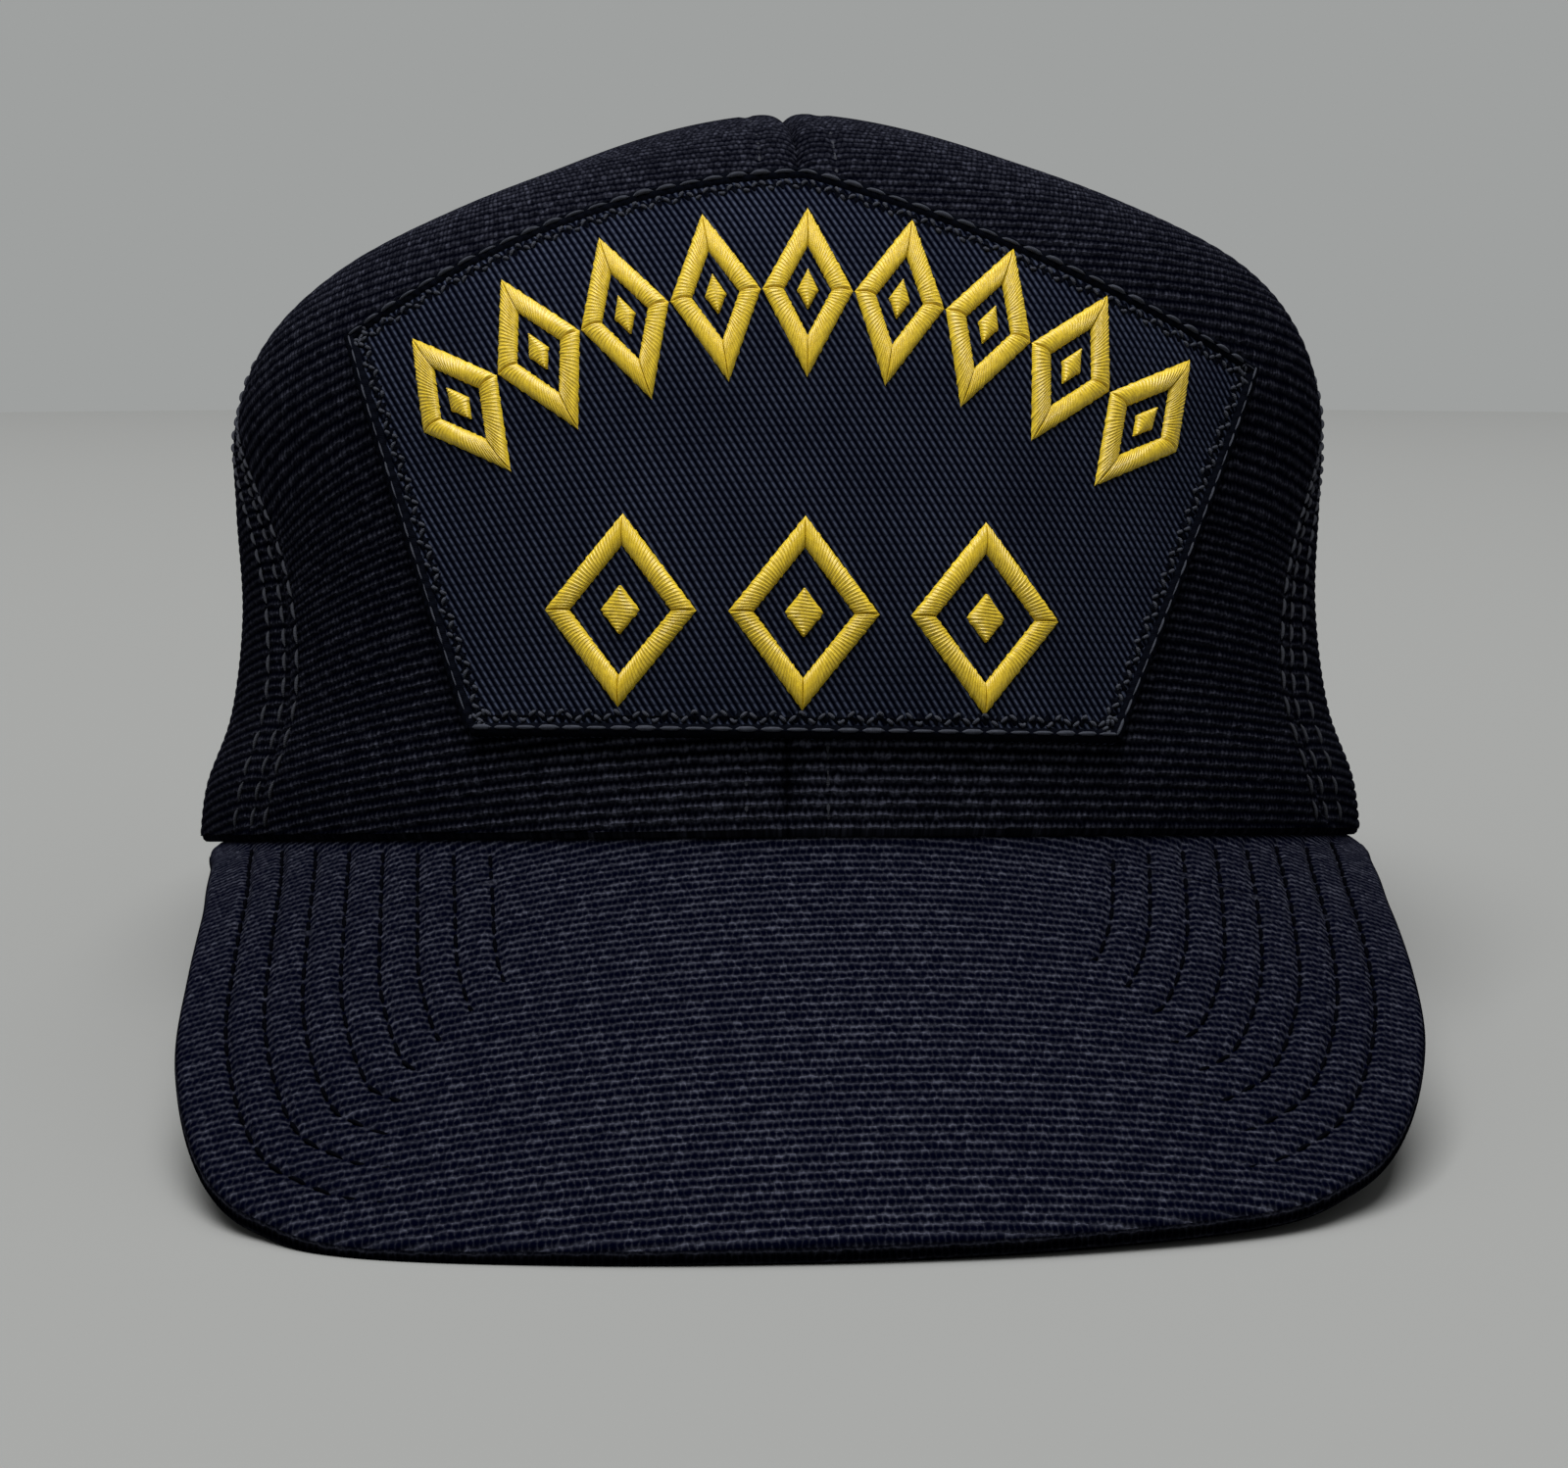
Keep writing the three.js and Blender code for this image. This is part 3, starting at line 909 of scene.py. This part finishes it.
def gore_piece(name, node, seams, axis, lie, wall, side):
    """One knitted gore. Its rows follow the ribs, which sink away from its middle line by the lie's droop
    and climb towards the front by its climb."""
    droop, climb = lie
    level, up = rib_levels(axis, climb * droop_reach)
    level = level[:, None]
    share = eased(gore_columns)

    def spread(height):
        section = along_table(crown_sections, height_place(height))
        edges = [seam_angle(seam, height, section, side) for seam in seams]
        angle = lerp(*edges, share)
        return edges, angle, crown_radius(section, angle)

    _, angle, radius = spread(np.repeat(np.maximum(level, hem_round), len(share), 1))
    away = radius * (angle - axis)
    sink = np.interp(level, rib_droop[:, DROOP_HEIGHT], droop) * np.abs(away / droop_reach) ** droop_power
    fall = climb * (1 - level / crown_height)
    height = np.clip(level - sink - fall * away, hem_round, crown_height)
    edges, angle, radius = spread(height)
    place = height_place(height)
    arch_share = smooth_step((height - arch_height) / arch_seam_start) if seams[1] == "back" else 1
    over_hem = smooth_step((height - hem_round) / hem_reach)
    drawn = seam_sewing(radius * (angle - edges[0]), seams[0], over_hem)
    drawn += seam_sewing(radius * (edges[1] - angle), seams[1], over_hem * arch_share)
    drawn *= np.minimum(radius / seam_fade_radius, 1)
    outer = rib_relief(len(up), rib_rise) - drawn
    inner = -drawn - wall
    cloth = points_of(radius * (angle - axis) * side, up[:, None])

    def face(depth, rows=slice(None), columns=slice(None), shift=0):
        part = rows, columns
        points = over_crown(place[part], (angle + shift / radius)[part], depth[part])
        return on_side(points, place[part], side)

    grids = [(face(outer), cloth, side < 0)]
    some = np.append(np.arange(0, len(up) - 1, inner_row_step), len(up) - 1)
    grids.append((face(inner, some), cloth[some], side > 0))
    turns = np.linspace(0, math.pi, round_steps)
    layers = [(lerp(inner, outer, 0.5 + 0.5 * math.cos(turn)), math.sin(turn)) for turn in turns]
    for column, bulge in ((0, 0), (gore_columns, 0.5 * wall * (1 - arch_share))):
        edge = [face(layer, columns=[column], shift=bulge * swell) for layer, swell in layers]
        grids.append((np.concatenate(edge, 1), cloth[:, column, None], (column == 0) == (side > 0)))
    hem = [face(layer, [0]) - upwards * hem_round * swell for layer, swell in layers]
    grids.append((np.concatenate(hem), cloth[:1], side > 0))
    # The front gores take the knit with painted light.
    material = front_knit_painted_light if seams[0] == "front" else crown_knit
    make_piece(name, grids, material, [node])


def crown():
    no_droop = np.zeros(len(rib_droop))
    for hand, side, column in (("left", 1, DROOP_LEFT), ("right", -1, DROOP_RIGHT)):
        droop = rib_droop[:, column]
        gores = (
            ("front", ("front", "temple"), 0.0, (droop, 0), front_wall),
            ("side", ("temple", "rear"), math.pi / 2, (side_gore_droop * droop, rib_climb[hand]), soft_wall),
            ("back", ("rear", "back"), math.pi, (no_droop, 0), soft_wall),
        )
        for gore, seams, axis, lie, wall in gores:
            gore_piece(f"knit_{gore}_{hand}", f"{gore}_panel_{hand}", seams, axis, lie, wall, side)


# Brim

def brim_grooves(flat, edge):
    """The furrows that the rows of stitching draw into the brim, deeper where they cross the ribs."""
    distance, course = row_distance(flat, edge)
    depth = np.zeros_like(distance)
    for row in range(brim_stitch_rows):
        depth += bell(distance - brim_stitch_first - row * brim_stitch_pitch, stitch_groove_width)
    return brim_groove * depth * lerp(front_groove, 1, smooth_step(course))


def brim_top():
    """The upper cover. Its rows of points run along the ribs."""
    board = np.linspace(-1, 1, board_samples)
    rim, edge = flat_board(board)
    rim_place, edge_place = rib_place(rim), rib_place(edge)
    front, joint = np.argmax(edge_place), np.argmax(rim_place)
    first = edge_place[front]
    step = brim_rib_pitch / rows_per_rib
    forward = np.arange(first, min(rim_place[0], rim_place[-1]), -step)[:, None]
    ahead = np.clip((forward - rim_place[joint]) / (first - rim_place[joint]), 0, 1)
    parting = lerp(board[joint], board[front], ahead)
    columns = 1 - np.linspace(1, 0, brim_columns + 1) ** 2
    rib_height = rib_relief(len(forward), brim_rib_rise)
    grids = []
    for side in (-1, 1):
        at_edge = slice(front, None, side)
        at_rim = slice(joint, None, side)
        outermost = np.interp(-forward, -edge_place[at_edge], board[at_edge])
        innermost = np.interp(-forward, -rim_place[at_rim], board[at_rim])
        share = lerp(np.where(ahead > 0, parting, innermost), outermost, columns)
        start = np.interp(share, board, rim)
        end = np.interp(share, board, edge)
        out = np.zeros_like(share)
        for _ in range(rib_arch_rounds):
            arched = forward + brim_rib_arch * lerp(start, end, out).real ** 2
            out = np.clip((arched - start.imag) / (end.imag - start.imag), 0, 1)
        flat = lerp(start, end, out)
        from_edge, _ = distance_to(flat, edge)
        rib = rib_height * smooth_step(from_edge / brim_round)
        sewn = edge_rounding(from_edge) + brim_grooves(flat, edge) - rib
        depth = lerp(-seat_gap, sewn, smooth_step(out * brim_length(share) / joint_reach))
        cloth = points_of(flat.real, first - rib_place(flat))
        grids.append((brim_point(share, out, depth), cloth, side > 0))
    make_piece("brim_cover_top", grids, brim_knit, ["brim"])


def brim_under():
    """The lower cover, from the outer edge to the tuck sewn in under the rim, and the ends at the temples."""
    share = np.linspace(-1, 1, under_columns + 1)
    length = brim_length(share)
    square = edge_squareness(share)
    near = brim_round * (1 - np.cos(np.linspace(0, math.pi / 2, round_steps)))[:, None] / square
    near = np.minimum(near, under_edge_share * length)
    far = lerp(near[-1], length, np.linspace(0, 1, under_rows)[:, None])
    from_edge = np.concatenate([near[:-1], far])
    upper = brim_point(share, 1 - from_edge / length)
    inward = brim_inward(share)
    rounding = edge_rounding(from_edge * square)[..., None]
    lower = upper + inward * (brim_thickness - rounding)
    tuck = by_rim(share, brim_tuck, -seat_gap)
    tuck_foot = tuck + unit(inward - upwards) * brim_thickness
    sewn = by_rim(share, 0.5 * front_wall, hem_round)
    points = np.concatenate([lower, [tuck_foot, tuck, sewn], upper[-1:]])
    rim, edge = flat_board(share)
    flat = np.concatenate([lerp(edge, rim, from_edge / length), np.tile(rim, (4, 1))])
    cloth = points_of(flat.real, rib_place(edge).max() - rib_place(flat))
    grids = [(points, cloth, False)]
    for end in (0, -1):
        above = np.concatenate([(upper + inward * rounding)[:, end], sewn[None, end]])
        below = np.concatenate([lower[:, end], tuck_foot[None, end]])
        cap = np.stack([above, below], 1)
        grids.append((cap, cap[..., 1:], end == 0))
    make_piece("brim_cover_under", grids, brim_knit)


def brim_edge():
    """The roll of cloth around the outer edge, in a darker copy of the brim's knit: painted shade, as the
    roll faces down and away from the light.
    """
    share = np.linspace(-1, 1, board_samples)
    length = brim_length(share)
    _, edge = flat_board(share)
    turn = np.linspace(edge_strip_start, edge_strip_end, edge_strip_steps)[:, None]
    radius = brim_round + edge_strip_rise
    from_edge = np.minimum((brim_round - radius * np.cos(turn)) / edge_squareness(share), length)
    depth = brim_round + radius * np.sin(turn)
    points = brim_point(share, 1 - from_edge / length, depth)
    cloth = points_of(path_length(points_of(edge.real, edge.imag)), radius * turn)
    make_piece("brim_cover_edge", [(points, cloth, True)], shaded_edge_knit)


# Stitches

def stitch_row(path, normals, stitch=stitch_length, space=stitch_space, radius=thread_radius):
    """Short thread capsules along a path that lies on cloth, each bowed up a little from end to end. Their
    radius is one number, or one for each point of the path."""
    length = path_length(path)
    starts = np.arange(space, length[-1] - stitch, stitch + space)
    share = np.linspace(0, 1, stitch_points)
    along = starts[:, None] + share * stitch
    normal = unit(along_path(along, length, normals))
    radii = np.interp(starts, length, np.broadcast_to(radius, length.shape))[:, None]
    bow = stitch_bow * radii * np.sin(math.pi * share)
    centre = along_path(along, length, path) + normal * bow[..., None]
    forward = unit(np.gradient(centre, axis=1))
    sideways = np.cross(forward, normal)
    around = circle(stitch_sides)
    thick = radii * np.sqrt(np.maximum(1 - (2 * share - 1) ** stitch_end_power, stitch_end))
    ring = np.cos(around)[:, None] * normal[:, :, None] + np.sin(around)[:, None] * sideways[:, :, None]
    points = centre[:, :, None] + ring * thick[..., None, None]
    return points, points_of(along[..., None], around), False


def seam_stitch_row(seam, offset, low, high, side, depth=0):
    """Topstitching beside a seam, from one height to another."""
    height = np.linspace(low, high, seam_row_points)
    place = height_place(height)
    section = along_table(crown_sections, place)
    edge = seam_angle(seam, height, section, side)
    angle = edge + offset / crown_radius(section, edge)
    path = on_side(over_crown(place, angle, 0 * height - depth), place, side)
    return stitch_row(path, crown_normal(place, angle) * (side, 1, 1))


def crown_stitches():
    low, high = seam_row_low, crown_height - seam_row_top
    rows = []
    for side in (1, -1):
        rows.append(seam_stitch_row("front", seam_stitch["front"], low, high, side, front_thread_depth))
        for seam in ("temple", "rear"):
            rows.append(seam_stitch_row(seam, -seam_stitch[seam], low, high, side))
            rows.append(seam_stitch_row(seam, seam_stitch[seam], low, high, side))
        rows.append(seam_stitch_row("temple", 0, low, temple_row_share * high, side, middle_thread_depth))
        rows.append(seam_stitch_row("back", -seam_stitch["back"], low, high, side))
    make_piece("crown_stitching", rows, seam_thread)


def brim_stitches():
    """Rows of stitching that follow the brim's outer edge and end at the rim."""
    share = np.linspace(-1, 1, board_samples)
    rim, edge = flat_board(share)
    outs = np.linspace(0, 1, row_samples)
    distance, course = row_distance(lerp(rim, edge, outs[:, None]), edge)
    rows = []
    for row in range(brim_stitch_rows):
        wanted = brim_stitch_first + row * brim_stitch_pitch
        inside = np.flatnonzero(distance[0] > wanted + brim_shoulder)
        out = np.array([np.interp(-wanted, -distance[:, column], outs) for column in inside])
        crossing = course[np.rint(out * (len(outs) - 1)).astype(int), inside]
        sink = lerp(front_thread_sink, thread_sink, smooth_step(crossing))
        path = brim_point(share[inside], out, sink)
        rows.append(stitch_row(path, -brim_inward(share[inside])))
    # Painted shade: the near-black thread also stands for the shade in the pinched furrows.
    make_piece("brim_stitching", rows, brim_thread_and_shade)


# Patch

def on_patch(x, z, height):
    """A point over the crown, from a point as seen from the front."""
    place = height_place(z)
    section = along_table(crown_sections, place)
    across = x - section[..., LEAN]
    power = section[..., FRONT_POWER]
    ahead = section[..., FRONT] * (1 - np.abs(across / section[..., HALF_WIDTH]) ** power) ** (1 / power)
    return on_side(over_crown(place, np.arctan2(across, ahead), height), place, 1)


def patch_drawing(side, up):
    """A point of the patch as seen from the front: side runs from -1 to 1, up from 0 to 1."""
    both = lerp(patch_right, patch_left, 0.5 + 0.5 * side[..., None])
    near = np.where(side[..., None] < 0, patch_right, patch_left)
    top = lerp(patch_crest, near[..., CORNER], np.abs(side) ** near[..., TOP_POWER])
    across = lerp(both[..., FOOT_ACROSS], both[..., CORNER_ACROSS], up)
    return across, lerp(both[..., FOOT], top, up)


def patch_face():
    side, up = np.meshgrid(2 * eased(patch_columns) - 1, eased(patch_rows))
    x, z = patch_drawing(side, up)
    ends = np.ones_like(side)
    half = 0.5 * (patch_drawing(ends, up)[0] - patch_drawing(-ends, up)[0])
    tall = patch_drawing(side, ends)[1] - patch_drawing(side, 0 * ends)[1]
    from_ends = np.minimum(up, patch_top_squeeze * (1 - up)) * tall
    to_edge = np.minimum((1 - np.abs(side)) * half, from_ends)
    height = seat_gap + patch_thickness * np.sqrt(1 - np.maximum(1 - to_edge / edge_roll_inset, 0) ** 2)
    grid = on_patch(x, z, height), points_of(x, z), False
    make_piece("patch_cloth", [grid], patch_twill, ["patch"])


def patch_outline(inset):
    """The patch's outline, drawn in by some millimetres, as points of its flat drawing."""
    run = np.linspace(-1, 1, outline_points, endpoint=False)
    ones = np.ones(outline_points)
    sides = np.concatenate([run, ones, -run, -ones])
    ups = np.concatenate([0 * ones, 0.5 + 0.5 * run, ones, 0.5 - 0.5 * run])
    outline = points_of(*patch_drawing(sides, ups))
    ahead = np.roll(outline, -1, 0) - outline
    behind = outline - np.roll(outline, 1, 0)
    tangent = unit(unit(ahead) + unit(behind))
    corner = np.sum(unit(ahead) * tangent, -1, keepdims=True)
    return outline + leftwards(tangent) * inset / np.maximum(corner, sharpest_corner)


def along_patch(inset, period, points):
    """A closed path along the patch's outline, in whole periods of some points each: the number of periods,
    how far along each point lies, its place in the flat drawing and the path's direction there."""
    outline = patch_outline(inset)
    closed = np.concatenate([outline, outline[:1]])
    length = path_length(closed)
    periods = round(length[-1] / period)
    along = np.linspace(0, length[-1], points * periods + 1)
    place = along_path(along, length, closed)
    return periods, along, place, unit(np.gradient(place, axis=0))


def patch_cord(inset, radius, sink):
    """A round cord of slightly twisted thread, laid along the patch's outline."""
    turns, along, place, tangent = along_patch(inset, cord_twist, cord_points)
    around = circle(cord_sides)
    turn = 2 * math.pi * turns * along[:, None] / along[-1]
    thick = radius * (1 + cord_relief * np.cos(turn + cord_slant * around))
    flat = place[:, None] + (thick * np.sin(around))[..., None] * leftwards(tangent)[:, None]
    points = on_patch(flat[..., 0], flat[..., 1], patch_level - sink + thick * np.cos(around))
    return points, points_of(along[:, None], radius * around), True


def patch_border():
    """The edge of the patch: a dark roll of cloth and the bed of a flat dark braid."""
    roll = patch_cord(edge_roll_inset, edge_roll_radius, edge_roll_sink)
    braid_bed = patch_cord(patch_stitch_inset, braid_bed_radius, braid_bed_sink)
    make_piece("patch_edge", [roll, braid_bed], edge_thread)


def patch_stitch_row(place, level, *thread):
    """A row of stitches along a path of the patch's flat drawing, at some level over its face."""
    x, z = place.T
    height = np.full(len(place), patch_level + level)
    path = on_patch(x, z, height)
    return stitch_row(path, unit(on_patch(x, z, height + 1) - path), *thread)


def patch_stitches():
    """The pale slubs that bind the roll, thinner at its sides, and the braid's short slanting stitches."""
    _, along, place, tangent = along_patch(slub_inset, slub_length, slub_points)
    radius = slub_radius * lerp(slub_side_share, 1, tangent[:, 0] ** 2)
    radius *= 1 + slub_unevenness * np.sin(slub_wave * along)
    slubs = patch_stitch_row(place, slub_level, slub_length, slub_space, radius)
    make_piece("patch_slubs", [slubs], braid_thread)
    zigzags, along, place, tangent = along_patch(patch_stitch_inset, 2 * braid_step, zigzag_points)
    swing = braid_swing * (2 * np.abs((along / along[-1] * zigzags) % 1 * 2 - 1) - 1)
    swung = place + swing[:, None] * leftwards(tangent)
    braid = patch_stitch_row(swung, 0, braid_step - braid_space, braid_space)
    make_piece("patch_stitching", [braid], braid_thread)


# Ornament

def satin_stroke(one_edge, other_edge):
    """One satin-stitched stroke between two edges: threads lie side by side from edge to edge, over a
    domed core. The edges are points of the flat drawing, turned and moved with the patch."""
    middle = lerp(one_edge, other_edge, 0.5)
    length = path_length(middle)
    threads = max(round(length[-1] / satin_thread), 2)
    along = np.linspace(0, length[-1], satin_points * threads + 1)
    near, far = (along_path(along, length, edge)[:, None] for edge in (one_edge, other_edge))
    thread = np.arange(len(along)) / satin_points
    waves = np.sin(np.outer(satin_waves, np.floor(thread)))
    uneven = 1 + satin_unevenness * waves.prod(0)
    across = np.sin(np.linspace(-0.5, 0.5, satin_sides + 1) * math.pi)
    end = np.minimum(along, length[-1] - along)
    dome = np.sqrt(np.maximum(1 - across ** 2, 0)) * smooth_step(satin_end + end / satin_thread)[:, None]
    groove = satin_groove * np.cos(2 * math.pi * (thread[:, None] + satin_slant * across))
    height = patch_level + (satin_rise - groove) * dome
    flat = lerp(near, far, 0.5 + 0.5 * (across * uneven[:, None])[..., None])
    half = 0.5 * np.linalg.norm(far - near, axis=-1)
    cloth = points_of(along[:, None], half * across)
    cosine, sine = math.cos(ornament_turn), math.sin(ornament_turn)
    right, up = flat[..., 0], flat[..., 1] - ornament_middle
    x = right * cosine - up * sine + ornament_shift
    z = right * sine + up * cosine + ornament_middle
    return on_patch(x, z, height), cloth, True


def lozenge(centre, turn, size):
    """An open lozenge with a filled one in its middle, as satin strokes that meet in mitred corners."""
    right = np.array([math.cos(turn), math.sin(turn)])
    up = np.array([-math.sin(turn), math.cos(turn)])
    half_width, half_height = 0.5 * size[0], 0.5 * size[1]
    corners = [half_height * up, half_width * right, -half_height * up, -half_width * right]
    to_side = half_width * half_height / math.hypot(half_width, half_height)
    grow = 0.5 * satin_width / to_side
    share = np.linspace(0, 1, lozenge_points)[:, None]
    strokes = []
    for start, end in zip(corners, corners[1:] + corners[:1]):
        line = lerp(start, end, share)
        strokes.append(satin_stroke(centre + line * (1 - grow), centre + line * (1 + grow)))
    spread = np.linspace(-1, 1, kernel_points)[:, None]
    spine = centre + kernel_share * half_height * up * spread
    breadth = kernel_share * half_width * right * (kernel_blunt - np.abs(spread))
    strokes.append(satin_stroke(spine - breadth, spine + breadth))
    return strokes


def ornament():
    strokes = []
    for number in range(arch_count):
        turn = (number - 0.5 * (arch_count - 1)) * arch_step
        middle = np.array([0, arch_top - arch_radius])
        centre = middle + arch_radius * np.array([math.sin(turn), math.cos(turn)])
        strokes += lozenge(centre, -turn, arch_lozenge)
    for number in range(row_count):
        across = (number - 0.5 * (row_count - 1)) * row_step
        strokes += lozenge(np.array([across, row_level]), 0.0, row_lozenge)
    make_piece("patch_ornament", strokes, gold_thread)


# Button and strap

def top_button():
    """The cloth-covered button, drawn into small gathers towards its edge."""
    lift = np.linspace(*button_lift, button_rows + 1)[:, None]
    around = circle(button_columns)
    edge = smooth_step(1 - np.maximum(lift, 0) / gather_reach)
    radius = button_radius * np.cos(lift) * (1 + gather_depth * edge * np.cos(gather_count * around))
    height = crown_height + seat_gap - button_dish + button_rise * np.sin(lift)
    points = points_of(radius * np.cos(around), radius * np.sin(around), np.maximum(height, crown_height))
    make_piece("button_cover", [(points, points[..., :2], False)], crown_knit, ["top_button"])


def on_strap(along, height, depth):
    """A point of the strap, bent along the inside of the crown's back."""
    along, height, depth = np.broadcast_arrays(along, height, depth)
    return over_crown(height_place(height), math.pi + along / crown_sections[0, BACK], depth)


def squared_off(wave, power):
    """A wave with flatter tops: the lower the power, the flatter."""
    return np.sign(wave) * np.abs(wave) ** power


def strap_band(start, end, outside):
    """One end of the strap: a flat band with rounded ends and edges."""
    along = lerp(start, end, eased(strap_columns))[:, None]
    full = 0.5 * (strap_high - strap_low)
    to_end = np.minimum(np.minimum(along - start, end - along) / full, 1)
    half = full * np.sqrt(1 - (1 - to_end) ** 2) + strap_tip
    around = circle(strap_sides)
    height = strap_middle + half * squared_off(np.cos(around), strap_flatness)
    thick = squared_off(np.sin(around), strap_edge_power) * np.minimum(half, strap_tip_taper)
    points = on_strap(along, height, outside + 0.5 * strap_thickness * (thick - 1))
    return points, points_of(along, height), False


def strap_stud(along, outside):
    """One stud head: a low round button with a soft edge."""
    share = np.linspace(0, 1, stud_rings + 1)[:, None]
    around = circle(stud_sides)
    radius = stud_radius * np.sqrt(1 - share ** stud_edge_power)
    right = radius * np.cos(around)
    up = radius * np.sin(around)
    points = on_strap(along + right, strap_middle + up, outside + stud_rise * share ** stud_dome_power)
    return points, points_of(right, up), False


def snap_strap():
    outside = -soft_wall - seat_gap
    grids = [
        strap_band(-strap_half_length, strap_overlap, outside),
        strap_band(-strap_overlap, strap_half_length, outside - strap_thickness),
    ]
    for stud in range(stud_count):
        grids.append(strap_stud((stud - 0.5 * (stud_count - 1)) * stud_pitch, outside))
    make_piece("strap_bands", grids, strap_plastic, ["snap_strap"])


# Stage

def floor():
    """A round pale floor."""
    around = circle(floor_sides)[:-1]
    points = floor_radius * points_of(np.cos(around), np.sin(around), 0)
    mesh = bpy.data.meshes.new("floor")
    mesh.from_pydata(points.tolist(), [], [range(floor_sides)])
    material, _, shader = new_material("floor_paint", floor_roughness)
    shader.inputs["Base Color"].default_value = floor_colour
    mesh.materials.append(material)
    plane = add_object("floor", mesh)


def area_light(name, place, target, size, watts):
    light = bpy.data.lights.new(name, "AREA")
    light.size = size
    light.energy = watts
    add_aimed(name, light, place, Vector(target) - Vector(place))


def lights():
    """One wide soft light high overhead, a weaker one behind, and an even pale surrounding."""
    area_light("key", **key_light)
    area_light("back", **back_light)
    world = bpy.data.worlds.new("studio")
    world.use_nodes = True
    world.node_tree.nodes["Background"].inputs["Color"].default_value = surround_colour
    bpy.context.scene.world = world
    bpy.context.scene.view_settings.view_transform = "Standard"


def camera():
    """Where the photograph was taken from: level with the rim, a little to one side."""
    data = bpy.data.cameras.new("camera")
    data.sensor_width = sensor_width
    data.lens = sensor_width * focal_pixels / image_width
    data.clip_start = clip_start
    ahead = np.array([image_width / 2 - axis_u, focal_pixels, axis_v - image_height / 2])
    bpy.context.scene.camera = add_aimed("camera", data, to_rest(eye_place), turn_to_rest(ahead))


crown()
brim_top()
brim_under()
brim_edge()
crown_stitches()
brim_stitches()
patch_face()
patch_border()
patch_stitches()
ornament()
top_button()
snap_strap()
floor()
lights()
camera()
